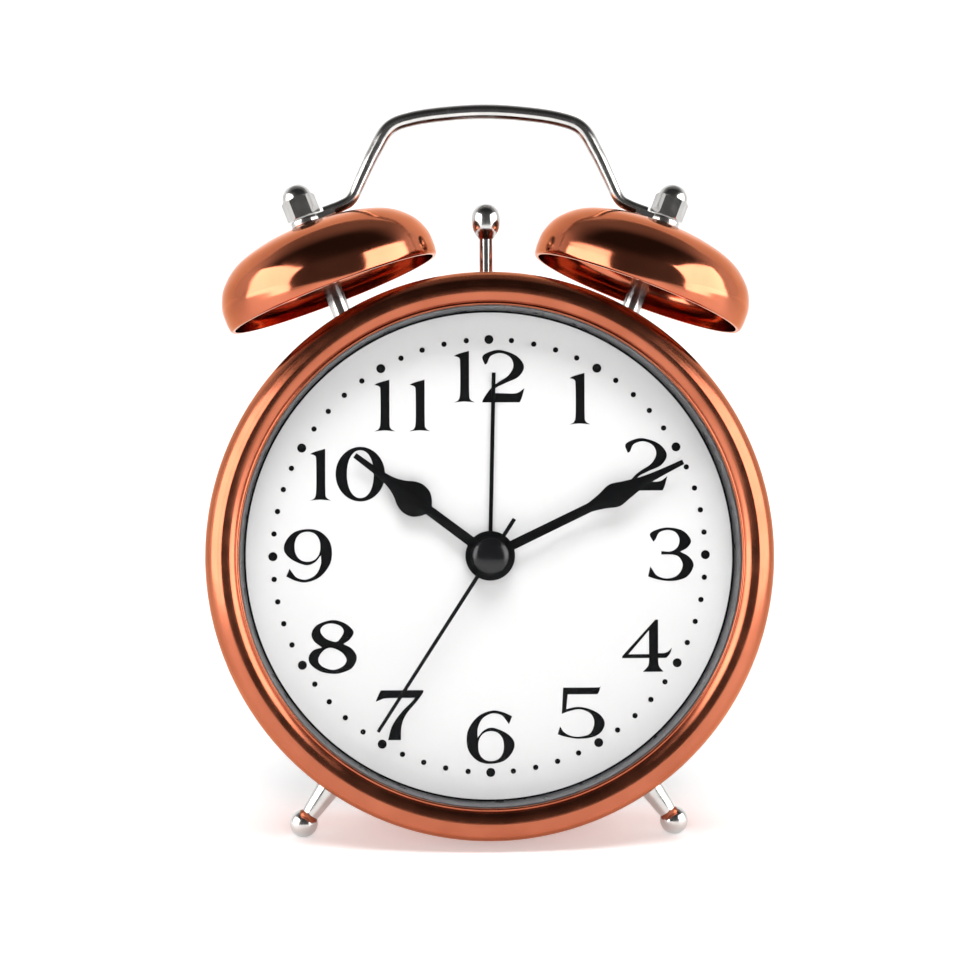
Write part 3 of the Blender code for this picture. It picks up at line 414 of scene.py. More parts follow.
def make_looks():
    looks = {}

    # The rolled copper is the same copper with its colour scaled by 0.82 (depth): painted shade that dims
    # the bezel's reflections. Its ring lines and rougher finish are real.
    for name, depth, lined in (("copper", 1.0, False), ("shaded_rolled_copper", 0.82, True)):
        dark, mid, light = [[channel * depth for channel in colour] for colour in
                            ((0.43, 0.12, 0.062), (0.48, 0.14, 0.074), (0.53, 0.16, 0.086))]
        copper = Look("polished_" + name, mid, 0.10, 1.0)
        copper.colours(copper.noise(14, 4), dark, light)
        copper.shader.inputs["Specular Tint"].default_value = (1.0, 0.70, 0.55, 1)
        copper.bump(copper.noise(16, 1), 0.030).bump(copper.noise(0.6, 3), 0.0008)
        if lined:
            copper.roughness(copper.noise(5, 5), 0.18, 0.27)
            copper.bump(copper.rings(0.6), 0.030)
        else:
            copper.roughness(copper.noise(5, 5), 0.09, 0.16)
        looks[name] = copper

    steel = Look("polished_nickel", (0.56, 0.545, 0.53), 0.16, 1.0)
    steel.colours(steel.noise(8, 4), (0.50, 0.49, 0.475), (0.62, 0.605, 0.59))
    steel.roughness(steel.noise(2.5, 5), 0.12, 0.25)
    steel.bump(steel.noise(5, 2), 0.010).bump(steel.noise(0.4, 3), 0.0006)
    looks["steel"] = steel

    glass = Look("clear_glass", (0.006, 0.007, 0.007), 0.02)
    glass.set(Alpha=0.06, IOR=1.5)
    glass.roughness(glass.noise(20, 2), 0.01, 0.03)
    looks["glass"] = glass

    dial = Look("dial_card", (0.86, 0.86, 0.86), 0.5)
    dial.colours(dial.noise(1.2, 6), (0.85, 0.85, 0.85), (0.87, 0.87, 0.87))
    dial.roughness(dial.noise(0.8, 4), 0.45, 0.6)
    dial.bump(dial.noise(0.25, 4), 0.004)
    looks["dial_white"] = dial

    # This ink also paints the shadow ring at the dial's edge.
    ink = Look("dial_ink_and_shadow", (0.003, 0.003, 0.0035), 0.55)
    ink.roughness(ink.noise(0.4, 4), 0.48, 0.65)
    ink.bump(ink.noise(0.2, 3), 0.002)
    ink.set(Specular_IOR_Level=0.1)
    looks["ink"] = ink

    gloss = Look("gloss_black_ring", (0.02, 0.02, 0.022), 0.18)
    gloss.colours(gloss.noise(6, 4), (0.050, 0.050, 0.055), (0.075, 0.075, 0.080))
    gloss.roughness(gloss.noise(3, 4), 0.25, 0.38)
    looks["gloss_black"] = gloss

    black = Look("moulded_black", (0.022, 0.022, 0.023), 0.45)
    black.colours(black.noise(9, 5), (0.018, 0.018, 0.019), (0.030, 0.030, 0.031))
    black.roughness(black.noise(2, 4), 0.38, 0.52)
    black.bump(black.noise(0.35, 2), 0.012, 0.8)
    looks["black_plastic"] = black

    paint = Look("black_hand_paint", (0.003, 0.003, 0.0035), 0.36)
    paint.roughness(paint.noise(1.5, 4), 0.30, 0.44)
    paint.bump(paint.noise(0.3, 3), 0.002)
    paint.set(Specular_IOR_Level=0.12)
    looks["black_paint"] = paint

    cap = Look("gloss_cap", (0.006, 0.006, 0.007), 0.16)
    cap.roughness(cap.noise(1.0, 4), 0.12, 0.22)
    looks["cap"] = cap

    grey = Look("moulded_grey", (0.20, 0.20, 0.21), 0.5)
    grey.colours(grey.noise(6, 4), (0.17, 0.17, 0.18), (0.24, 0.24, 0.25))
    grey.bump(grey.noise(0.3, 2), 0.01)
    looks["grey_plastic"] = grey

    nylon = Look("natural_nylon", (0.83, 0.82, 0.75), 0.42)
    nylon.colours(nylon.noise(3, 4), (0.78, 0.77, 0.69), (0.88, 0.87, 0.81))
    nylon.bump(nylon.noise(0.4, 3), 0.006)
    looks["nylon"] = nylon

    brass = Look("turned_brass", (0.78, 0.60, 0.30), 0.25, 1.0)
    brass.colours(brass.noise(2, 4), (0.70, 0.52, 0.25), (0.84, 0.66, 0.35))
    brass.roughness(brass.noise(1, 4), 0.2, 0.34)
    looks["brass"] = brass

    wire = Look("enamelled_winding", (0.55, 0.20, 0.08), 0.35, 0.7)
    wire.colours(wire.noise(0.2, 2, (30, 30, 1)), (0.42, 0.13, 0.05), (0.66, 0.27, 0.12))
    wire.bump(wire.noise(0.2, 1, (30, 30, 1)), 0.03)
    looks["enamel_wire"] = wire

    board = Look("green_board", (0.04, 0.22, 0.09), 0.4)
    board.colours(board.noise(1.0, 3, kind="VORONOI"), (0.03, 0.18, 0.07), (0.06, 0.27, 0.11))
    looks["board_green"] = board

    cell = Look("battery_sleeve", (0.10, 0.11, 0.13), 0.3)
    cell.colours(cell.noise(12, 3), (0.08, 0.09, 0.11), (0.14, 0.15, 0.17))
    looks["battery"] = cell
    return {name: look.material for name, look in looks.items()}


LOOKS = make_looks()

# ======================================== case and dial =======================================
BEZEL_R = 57.5
RECESS_R = 50.3
DRUM_R = 55.5
DRUM_WALL = 0.8
DRUM_FRONT_Y = 3.5
DRUM_BACK_Y = 41.0
LENS_R = 52.4
LENS_Y = (2.0, 3.2)
LENS_EDGE = 0.3
DIAL_Y = 9.5
DIAL_CARD = 0.6
DIAL_R = 54.2
DIAL_BORE_R = 3.3
HAMMER_SLOT_R = 2.3
HAMMER_SLOT_X = 4.0
BELL_Y = 23.0


def make_bezel():
    """A broad crown with a thin bead inside it, rolled from one copper-plated sheet."""
    lip = flow([(50.55, 1.75, CORNER), (50.5, 1.35), (50.75, 1.0), (51.15, 1.12, CORNER)], 4)
    crown = flow([(51.15, 1.12, CORNER), (51.75, 0.55), (52.7, 0.1), (53.8, 0.0), (54.9, 0.4, CORNER)], 6)
    outer = flow([(54.9, 0.48, CORNER), (55.7, 0.95), (56.6, 2.0), (57.25, 3.4), (BEZEL_R, 4.9),
                  (57.3, 6.4), (57.0, 7.2, CORNER)], 6)
    back = [(55.8, 7.2), (55.8, 3.2), (52.7, 2.2), (52.7, 1.75)]
    # The bezel takes the copper darkened by painted shade.
    bezel = add("bezel_ring", turned(lip + crown + outer + back, FINE_ROUND), LOOKS["shaded_rolled_copper"], CLOCK)
    stand_in(bezel, "case", "copper", "bezel")


def make_front():
    """The flat lens, the black cone behind its rim and the dial card."""
    front, rear = LENS_Y
    lens = [(0, front)] + arc((LENS_R - LENS_EDGE, front + LENS_EDGE), LENS_EDGE, -90, 0, 3)
    lens += arc((LENS_R - LENS_EDGE, rear - LENS_EDGE), LENS_EDGE, 0, 90, 3) + [(0, rear)]
    stand_in(add("lens_glass", turned(lens, ROUND), LOOKS["glass"], CLOCK), "case", "glass", "lens")
    ring = [(RECESS_R + 0.15, 3.6), (RECESS_R + 0.3, 3.5), (54.3, 3.5), (54.3, 9.3),
            (RECESS_R - 0.3, 9.3), (RECESS_R - 0.35, 9.1)]
    ring = add("recess_wall", turned(ring, FINE_ROUND), LOOKS["gloss_black"], CLOCK)
    stand_in(ring, "case", "black_plastic", "recess_ring")
    dial_back = DIAL_Y + DIAL_CARD
    dial = [(DIAL_BORE_R, DIAL_Y), (DIAL_R, DIAL_Y), (DIAL_R, dial_back), (DIAL_BORE_R, dial_back)]
    dial = add("dial_face", turned(dial, ROUND), LOOKS["dial_white"], CLOCK)
    stand_in(dial, "case", "dial_white", "dial_plate")


def make_drum():
    """A sheet drum, open at both ends, whose rear edge is turned in round the cover."""
    outline = [(DRUM_R, DRUM_FRONT_Y, CORNER), (DRUM_R, 35.0, CORNER), (55.3, 37.6), (54.9, 39.8),
               (54.4, DRUM_BACK_Y, CORNER)]
    outer = flow(outline, 4)
    inner = flow([(point[0] - DRUM_WALL,) + point[1:] for point in reversed(outline)], 4)
    drum = add("drum_shell", turned(outer + inner, FINE_ROUND), LOOKS["copper"], CLOCK)
    slot_outline = arc((HAMMER_SLOT_X, 0), HAMMER_SLOT_R, -90, 90, 12)
    slot_outline += arc((-HAMMER_SLOT_X, 0), HAMMER_SLOT_R, 90, 270, 12)
    cut(drum, extruded(slot_outline, DRUM_R - 7.5, DRUM_R + 4.5, "Z", (0, BELL_Y, 0)))
    stand_in(drum, "case", "copper", "drum_case")


# ====================================== dial numerals =========================================
# Digits are drawn one unit high, from the lower left, and NUMERAL_HEIGHT is that unit.
NUMERAL_HEIGHT = 10.7
NUMERAL_RADIUS = {10: 33.4, 11: 35.5, 12: 36.6}
NUMERAL_R = 37.0
DIGIT_GAP = {10: 0.09, 11: 0.27, 12: 0.14}
INK_DEPTH = 0.05
DOT_CIRCLE_R = 44.1
HOUR_DOT_R = 0.92
MINUTE_DOT_R = 0.55
# Radii of a black ring at the dial's edge: a painted shadow of the gap under the recess wall.
RIM_SHADOW_R = (50.2, 49.6)


def ellipse(centre, half_width, half_height, steps=40, power=1.0):
    points = []
    for step in range(steps):
        c, s = polar(1, 2 * math.pi * step / steps)
        points.append((centre[0] + half_width * math.copysign(abs(c) ** power, c),
                       centre[1] + half_height * math.copysign(abs(s) ** power, s)))
    return points


def digit_one():
    outline = [(0.0, 0.0, CORNER), (0.09, 0.05), (0.122, 0.2), (0.122, 0.76), (0.095, 0.855),
               (0.005, 0.885, CORNER), (0.10, 0.93), (0.295, 0.985, CORNER), (0.295, 0.2),
               (0.315, 0.06), (0.40, 0.0, CORNER), (0.2, 0.018)]
    return [flow(outline, 6, True)]


def digit_two():
    outline = [(0.055, 0.72, CORNER), (0.008, 0.87), (0.12, 0.955), (0.345, 1.0), (0.65, 0.895),
               (0.803, 0.69), (0.70, 0.49), (0.45, 0.37), (0.265, 0.275), (0.225, 0.18, CORNER),
               (0.42, 0.172), (0.66, 0.175), (0.81, 0.27, CORNER), (0.76, 0.09), (0.72, 0.0, CORNER),
               (0.0, 0.0, CORNER), (0.035, 0.085), (0.17, 0.27), (0.31, 0.385), (0.50, 0.51),
               (0.60, 0.69), (0.54, 0.86), (0.355, 0.94), (0.17, 0.885), (0.10, 0.75)]
    return [flow(outline, 6, True)]


def digit_three():
    outline = [(0.105, 0.75, CORNER), (0.04, 0.90), (0.20, 0.99), (0.42, 1.02), (0.68, 0.955),
               (0.825, 0.78), (0.76, 0.64), (0.62, 0.56, CORNER), (0.79, 0.46), (0.875, 0.30),
               (0.77, 0.10), (0.60, 0.02), (0.39, 0.0), (0.16, 0.035), (0.0, 0.09, CORNER),
               (0.045, 0.28, CORNER), (0.09, 0.21), (0.18, 0.10), (0.37, 0.047), (0.565, 0.11),
               (0.665, 0.285), (0.61, 0.44), (0.49, 0.50), (0.255, 0.505, CORNER),
               (0.255, 0.57, CORNER), (0.44, 0.565), (0.57, 0.65), (0.605, 0.80), (0.53, 0.93),
               (0.375, 0.972), (0.22, 0.925), (0.15, 0.80)]
    return [flow(outline, 6, True)]


def digit_four():
    outline = [(0.64, 0.995, CORNER), (0.69, 0.995, CORNER), (0.69, 0.355, CORNER), (0.80, 0.355),
               (0.885, 0.39), (0.955, 0.46, CORNER), (0.92, 0.35), (0.845, 0.262, CORNER),
               (0.69, 0.262, CORNER), (0.70, 0.12), (0.79, 0.0, CORNER), (0.395, 0.0, CORNER),
               (0.50, 0.12), (0.515, 0.262, CORNER), (0.0, 0.262, CORNER), (0.0, 0.30, CORNER)]
    hole = [(0.12, 0.335, CORNER), (0.515, 0.335, CORNER), (0.515, 0.79, CORNER)]
    return [flow(outline, 6, True), flow(hole, 1, True)]


def digit_five():
    outline = [(0.108, 0.975, CORNER), (0.76, 0.975), (0.82, 1.0, CORNER), (0.80, 0.91),
               (0.765, 0.845, CORNER), (0.195, 0.845, CORNER), (0.165, 0.565, CORNER), (0.37, 0.605),
               (0.58, 0.575), (0.80, 0.465), (0.90, 0.30), (0.83, 0.125), (0.66, 0.028), (0.40, 0.0),
               (0.17, 0.035), (0.0, 0.085, CORNER), (0.045, 0.24, CORNER), (0.12, 0.13), (0.25, 0.058),
               (0.42, 0.04), (0.62, 0.10), (0.70, 0.30), (0.63, 0.475), (0.43, 0.56), (0.22, 0.525),
               (0.08, 0.475, CORNER)]
    return [flow(outline, 6, True)]


def digit_six():
    outline = [(0.807, 0.75, CORNER), (0.87, 0.90, CORNER), (0.68, 0.985), (0.48, 1.01), (0.23, 0.91),
               (0.05, 0.69), (0.0, 0.46), (0.05, 0.225), (0.23, 0.045), (0.465, 0.0), (0.72, 0.06),
               (0.88, 0.235), (0.905, 0.42), (0.76, 0.58), (0.50, 0.685), (0.33, 0.635),
               (0.21, 0.50, CORNER), (0.215, 0.68), (0.31, 0.865), (0.49, 0.957), (0.66, 0.925),
               (0.75, 0.83)]
    return [flow(outline, 6, True), ellipse((0.465, 0.335), 0.245, 0.285, 40, 0.9)]


def digit_seven():
    outline = [(0.0, 0.73, CORNER), (0.04, 0.83), (0.095, 0.945, CORNER), (0.905, 0.945, CORNER),
               (0.905, 0.90, CORNER), (0.79, 0.74), (0.58, 0.49), (0.49, 0.27), (0.478, 0.0, CORNER),
               (0.232, 0.0, CORNER), (0.31, 0.27), (0.49, 0.53), (0.68, 0.72), (0.745, 0.80, CORNER),
               (0.22, 0.795), (0.08, 0.76)]
    return [flow(outline, 6, True)]


def digit_eight():
    outline = [(0.455, 1.02), (0.70, 0.955), (0.857, 0.80), (0.79, 0.655), (0.665, 0.565, CORNER),
               (0.83, 0.47), (0.918, 0.305), (0.83, 0.11), (0.63, 0.018), (0.455, 0.0), (0.23, 0.045),
               (0.05, 0.17), (0.004, 0.31), (0.09, 0.445), (0.26, 0.5, CORNER), (0.11, 0.62),
               (0.062, 0.77), (0.17, 0.93)]
    upper = [(0.444, 0.955), (0.61, 0.905), (0.671, 0.80), (0.60, 0.665), (0.515, 0.607),
             (0.33, 0.67), (0.227, 0.81), (0.295, 0.92)]
    lower = [(0.413, 0.495), (0.62, 0.415), (0.723, 0.27), (0.655, 0.145), (0.475, 0.075),
             (0.265, 0.14), (0.186, 0.265), (0.265, 0.42)]
    return [flow(outline, 6, True), flow(upper, 6, True), flow(lower, 6, True)]


def digit_nine():
    """The six turned half round."""
    return [[(0.915 - x, 1.02 - y) for x, y in contour] for contour in digit_six()]


def digit_zero():
    return [ellipse((0.47, 0.5), 0.47, 0.52, 56), ellipse((0.47, 0.5), 0.255, 0.455, 56, 0.93)]


DIGITS = {"0": digit_zero, "1": digit_one, "2": digit_two, "3": digit_three, "4": digit_four,
          "5": digit_five, "6": digit_six, "7": digit_seven, "8": digit_eight, "9": digit_nine}


def printed(name, contours):
    """Filled outlines, raised from the dial by the thickness of the ink: the print, and the painted shadow
    ring at the dial's edge.
    """
    curve = bpy.data.curves.new(name, "CURVE")
    curve.dimensions = "2D"
    curve.fill_mode = "BOTH"
    curve.extrude = INK_DEPTH / 2 * MM
    for contour in contours:
        spline = curve.splines.new("POLY")
        spline.points.add(len(contour) - 1)
        spline.use_cyclic_u = True
        for point, (x, y) in zip(spline.points, contour):
            point.co = (x * MM, y * MM, 0, 1)
    drawn = bpy.data.objects.new(name + "_outline", curve)
    bpy.context.collection.objects.link(drawn)
    bpy.context.view_layer.update()
    mesh = bpy.data.meshes.new_from_object(drawn.evaluated_get(bpy.context.evaluated_depsgraph_get()))
    bpy.data.objects.remove(drawn, do_unlink=True)
    stand_up = Matrix.Rotation(math.radians(90), 4, "X")
    lift = Matrix.Translation((0, (DIAL_Y - INK_DEPTH / 2) * MM, 0))
    mesh.transform(lift @ stand_up)
    bm = bmesh.new()
    bm.from_mesh(mesh)
    bpy.data.meshes.remove(mesh)
    made = add(name, finish_mesh(bm), LOOKS["ink"], CLOCK)
    stand_in(made, "case", "black_paint")


def make_numerals():
    for number in range(1, 13):
        glyphs = []
        left = 0.0
        for digit in str(number):
            contours = DIGITS[digit]()
            glyphs += [[(x + left, y) for x, y in contour] for contour in contours]
            left = max(x for x, _ in glyphs[-len(contours)]) + DIGIT_GAP.get(number, 0)
        xs = [x for contour in glyphs for x, _ in contour]
        middle = (min(xs) + max(xs)) / 2
        angle = math.radians(90 - 30 * number)
        centre = polar(NUMERAL_RADIUS.get(number, NUMERAL_R), angle)
        placed = [[(centre[0] + (x - middle) * NUMERAL_HEIGHT, centre[1] + (y - 0.5) * NUMERAL_HEIGHT)
                   for x, y in contour] for contour in glyphs]
        printed(f"numeral_{number:02d}", placed)


def make_dots():
    dots = []
    for minute in range(60):
        centre = polar(DOT_CIRCLE_R, math.radians(6 * minute))
        radius = MINUTE_DOT_R if minute % 5 else HOUR_DOT_R
        dots.append(ellipse(centre, radius, radius, 24))
    printed("minute_dots", dots)
    # A black ring drawn in ink at the dial's edge: painted shadow of the gap under the recess wall.
    printed("painted_rim_shadow", [ellipse((0, 0), radius, radius, FINE_ROUND) for radius in RIM_SHADOW_R])


# =========================================== hands ============================================
HAND_TURN = {"hour_hand": 306.8, "minute_hand": 64.3, "alarm_hand": 1.4, "second_hand": 212.9}
TAIL_HALF = 0.4


def hand(name, stations, hub_r, span, bore, tail=0.0):
    """A flat hand: (distance, half width) stations beyond its hub, turned clockwise from twelve."""
    side = flow(stations, 6)
    start = math.asin(side[0][1] / hub_r)
    points = arc((0, 0), hub_r, math.degrees(start), 360 - math.degrees(start), 40)
    points += [(distance, -half) for distance, half in side[1:]]
    points += [(distance, half) for distance, half in reversed(side[1:])]
    turn = Matrix.Rotation(-math.radians(90 - HAND_TURN[name]), 4, "Y")
    mesh = extruded(points, *span)
    mesh.transform(turn)
    made = add(name + "_blade", mesh, LOOKS["black_paint"], CLOCK)
    if tail:
        counter = box((-tail, 0), (span[0] + 0.03, span[1] - 0.03), (-TAIL_HALF, TAIL_HALF))
        counter.transform(turn)
        fuse(made, counter)
    cut(made, rod(bore, span[0] - 1, span[1] + 1, 32))
    soften(made, 0.06)
    stand_in(made, name + "_group", "black_paint", name)


def make_hands():
    hand("hour_hand",
         [(4.9, 1.05), (15.5, 1.0, CORNER), (16.3, 2.1), (17.6, 3.15), (19.5, 3.5), (21.3, 3.0),
          (23.0, 1.95), (25.2, 1.15), (28.2, 0.75), (34.2, 0.55, CORNER)], 5.05, (7.2, 7.6), 2.5)
    hand("minute_hand",
         [(4.0, 0.98), (22.5, 0.95, CORNER), (25.2, 1.6), (28.0, 2.45), (30.8, 1.85), (34.5, 1.05),
          (39.0, 0.68), (43.6, 0.5, CORNER)], 4.0, (6.1, 6.5), 1.7)
    hand("alarm_hand", [(4.6, 0.4, CORNER), (37.3, 0.4, CORNER)], 4.6, (8.2, 8.5), 3.3)
    hand("second_hand", [(2.4, 0.4, CORNER), (42.1, 0.34, CORNER)], 2.4, (4.9, 5.2), 0.9, tail=8.9)
    dome = [(0, 3.42)] + flow([(0.9, 3.44, CORNER), (2.2, 3.62), (3.3, 4.02), (3.75, 4.4, CORNER)], 6)
    dome += [(3.75, 4.65), (1.0, 4.65), (0.9, 4.1), (0, 4.1)]
    cap = add("hand_cap_dome", turned(dome, 64), LOOKS["cap"], CLOCK)
    stand_in(cap, "second_hand_group", "black_paint", "hand_cap")


# ================================== bells, handle and hammer ==================================
WIRE_R = (1.25, 1.6)
POST_R = 2.0
ACORN_CORNER_R = 3.65
ACORN_Z = (17.2, 21.4)
TAB_R = 3.3
TAB_Z = (15.5, 16.9)
STRIP_REACH = 6.4
STRIP_HALF = 2.0
HAMMER_BORE_R = 1.2


def make_bell(word):
    """A thin cup, the post under it and the acorn nut on top."""
    matrix = bell_matrix(word)
    outer = flow([(22.75, 0.0, CORNER), (23.1, 0.5), (23.3, 2.4), (23.05, 5.4), (21.3, 9.0),
                  (17.4, 12.3), (11.6, 14.3), (5.5, 15.1), (1.5, 15.2, CORNER)], 8)
    inner = flow([(1.5, 14.4, CORNER), (5.4, 14.3), (11.3, 13.5), (16.9, 11.6), (20.6, 8.6),
                  (22.2, 5.2), (22.5, 2.4), (22.2, 0.4), (22.1, 0.0, CORNER)], 6)
    bell = add(f"{word}_bell_shell", turned(outer + inner, ROUND, "Z"), LOOKS["copper"], matrix)
    stand_in(bell, "case", "copper", f"{word}_bell")

    post = [(0, -11.0), (POST_R, -11.0), (POST_R, 13.0)]
    post += arc((POST_R - 0.3, 13.8), 0.3, 0, 90, 3) + [(0, 14.1)]
    post = add(f"{word}_post", turned(post, SMALL_ROUND, "Z"), LOOKS["steel"], matrix)
    cut(post, rod(DRUM_R + 0.05, 0, 50, ROUND), CLOCK)
    stand_in(post, "case", "steel", f"{word}_bell_post", f"{word}_bell_stud")

    acorn = add(f"{word}_acorn", hex_body(ACORN_CORNER_R, *ACORN_Z), LOOKS["steel"], matrix)
    dome = [(0, 18.5), (3.2, 18.5)] + flow([(3.2, 20.6, CORNER), (3.15, 21.7), (2.65, 23.0),
                                           (1.45, 24.05), (0, 24.3, CORNER)], 6)
    fuse(acorn, turned(dome, SMALL_ROUND, "Z"))
    stand_in(acorn, "case", "steel", f"{word}_acorn_nut")


def hex_body(radius, low, high):
    """A hexagonal bar with its top corners turned down to a cone."""
    corners = [polar(radius, math.radians(60 * step)) for step in range(6)]
    bar = bpy.data.objects.new("bar", extruded(corners, low, high, "Z"))
    bpy.context.collection.objects.link(bar)
    bar.data.materials.append(LOOKS["steel"])
    cone = [(0, low - 0.1), (radius - 0.3, low - 0.1), (radius + 0.1, low + 0.35),
            (radius + 0.1, high - 0.45), (radius - 0.45, high + 0.1), (0, high + 0.1)]
    combine(bar, turned(cone, 64, "Z"), "INTERSECT")
    mesh = bar.data
    bpy.data.objects.remove(bar)
    return mesh


def swept(path, radii, sides=24):
    """A round wire along (x, z) points, in the bells' plane."""
    bm = bmesh.new()
    rings = []
    for index, (x, z) in enumerate(path):
        before = path[max(index - 1, 0)]
        after = path[min(index + 1, len(path) - 1)]
        tangent = Vector((after[0] - before[0], 0, after[1] - before[1])).normalized()
        normal = Vector((-tangent.z, 0, tangent.x))
        ring = []
        for side in range(sides):
            c, s = polar(radii[index], 2 * math.pi * side / sides)
            ring.append(bm.verts.new((Vector((x, BELL_Y, z)) + normal * c + Vector((0, s, 0))) * MM))
        rings.append(ring)
    for lower, upper in zip(rings, rings[1:]):
        for side in range(sides):
            after = (side + 1) % sides
            bm.faces.new((lower[side], lower[after], upper[after], upper[side]))
    bm.faces.new(rings[0])
    bm.faces.new(rings[-1][::-1])
    return finish_mesh(bm, smooth_angle=50)


HANDLE_KNEE = (28.2, 74.7)
HANDLE_SHOULDER = (20.9, 89.3)
HANDLE_TOP_Z = 92.9
WIRE_START = (16.75, 4.1)    # (along, across) a bell's stud
WIRE_FOOT = (16.75, 8.0)


def make_handle():
    """A wire bent over the bells, flattened into a tab on each bell's stud."""
    matrices = {word: bell_matrix(word) for word in ("left", "right")}
    into_clock = CLOCK.inverted() @ matrices["right"]

    def beside(along, across):
        """A point beside the right bell's stud, in the clock's frame."""
        spot = (into_clock @ Vector((-across * MM, 0, along * MM))) / MM
        return spot.x, spot.z

    knee, shoulder, top = HANDLE_KNEE, HANDLE_SHOULDER, HANDLE_TOP_Z
    start = beside(*WIRE_START)
    foot = beside(*WIRE_FOOT)
    half = flow([start + (CORNER,), foot, (knee[0] - 0.25, knee[1] + 0.1), (25.7, 79.5), (23.3, 84.5),
                 (shoulder[0] - 0.7, shoulder[1] + 0.1), (15.2, top - 1.5), (7.6, top - 0.4), (0, top),
                 (-7.6, top - 0.4)], 8)
    half = [point for point in half if point[0] >= -1e-6]
    path = half + [(-x, z) for x, z in half[-2::-1]]
    radii = []
    for _, z in path:
        rise = min(max((z - knee[1]) / (shoulder[1] - knee[1]), 0), 1)
        radii.append(WIRE_R[0] + (WIRE_R[1] - WIRE_R[0]) * rise)
    handle = add("handle_wire", swept(path, radii), LOOKS["steel"], CLOCK)
    for word, matrix in matrices.items():
        fuse(handle, rod(TAB_R, *TAB_Z, SMALL_ROUND, "Z", edge=0.3), matrix)
        side = 1 if word == "left" else -1
        strip = box(sorted((0, side * STRIP_REACH)), (-STRIP_HALF, STRIP_HALF),
                    (TAB_Z[0] + 0.1, TAB_Z[1] - 0.1))
        fuse(handle, strip, matrix)
    stand_in(handle, "case", "steel", "handle")


def make_hammer():
    """A flat lever with the crank's window, and a round stem with the head on it."""
    pivot = spot_of("hammer_swing")[1]

    def from_pivot(points):
        """Heights up the dial become heights above the pivot."""
        return [(point[0], point[1] - pivot) + point[2:] for point in points]

    matrix = CLOCK @ Matrix.Translation((0, BELL_Y * MM, pivot * MM))
    lever = from_pivot([(-2.6, 29.6), (2.6, 29.6), (2.6, 51.0), (1.3, 54.0), (-1.3, 54.0), (-2.6, 51.0)])
    hammer = add("hammer_arm", extruded(lever, -1.0, 1.0), LOOKS["steel"], matrix)
    stem = from_pivot([(1.4, 52.5, CORNER), (1.4, 66.0, CORNER), (2.0, 66.7), (2.8, 68.1), (3.05, 69.9),
                       (2.7, 71.9), (1.5, 73.2), (0, 73.55, CORNER)])
    fuse(hammer, turned([(0, stem[0][1])] + flow(stem, 6), SMALL_ROUND, "Z"))
    cut(hammer, rod(HAMMER_BORE_R, -3, 3, 32))
    cut(hammer, box((-1.2, 1.2), (-3, 3), (30.8 - pivot, 36.6 - pivot)))
    stand_in(hammer, "hammer", "steel", "hammer")


FOOT_R = 2.95
FOOT_REACH = 67.1
LEG_SEAT = DRUM_R + 0.55
LEG_STUD_R = 1.2
LEG_STUD_END = 49.5


def make_leg(word):
    """A stud inside the drum, a tapered leg outside it and a ball, flat where it stands."""
    matrix = leg_matrix(word)
    leg = [(0, LEG_STUD_END), (LEG_STUD_R, LEG_STUD_END), (LEG_STUD_R, LEG_SEAT), (2.9, LEG_SEAT)]
    leg += flow([(3.0, LEG_SEAT + 0.3, CORNER), (2.75, LEG_SEAT + 0.9), (2.35, LEG_SEAT + 4.0),
                 (2.0, FOOT_REACH - 3.4), (1.85, FOOT_REACH - 2.4, CORNER)], 5)
    leg += arc((0, FOOT_REACH), FOOT_R, -51, 90, 24)[:-1] + [(0, FOOT_REACH + FOOT_R)]
    leg = add(f"{word}_foot", turned(leg, 64, "Z"), LOOKS["steel"], matrix)
    slice_at_table(leg)
    stand_in(leg, "case", "steel", f"{word}_leg")


# ============================================ back ============================================
BAY_X = 28.3
BAY_Z = (-41.1, -23.9)
BAY_DEPTH_Y = 26.5
BAY_WALL = 1.2
DOOR_GAP = 0.3
COVER_Y = (41.3, 43.0)
COVER_CUT_Y = (35.0, 50.0)
SCREW_CIRCLE_R = 47.0
SCREW_SPOTS = [polar(SCREW_CIRCLE_R, math.radians(angle)) for angle in (30, 150, 270)]
SWITCH_SPOT = (30.0, 14.0)
SWITCH_SLOT = ((25.6, 34.4), COVER_CUT_Y, (12.4, 15.6))


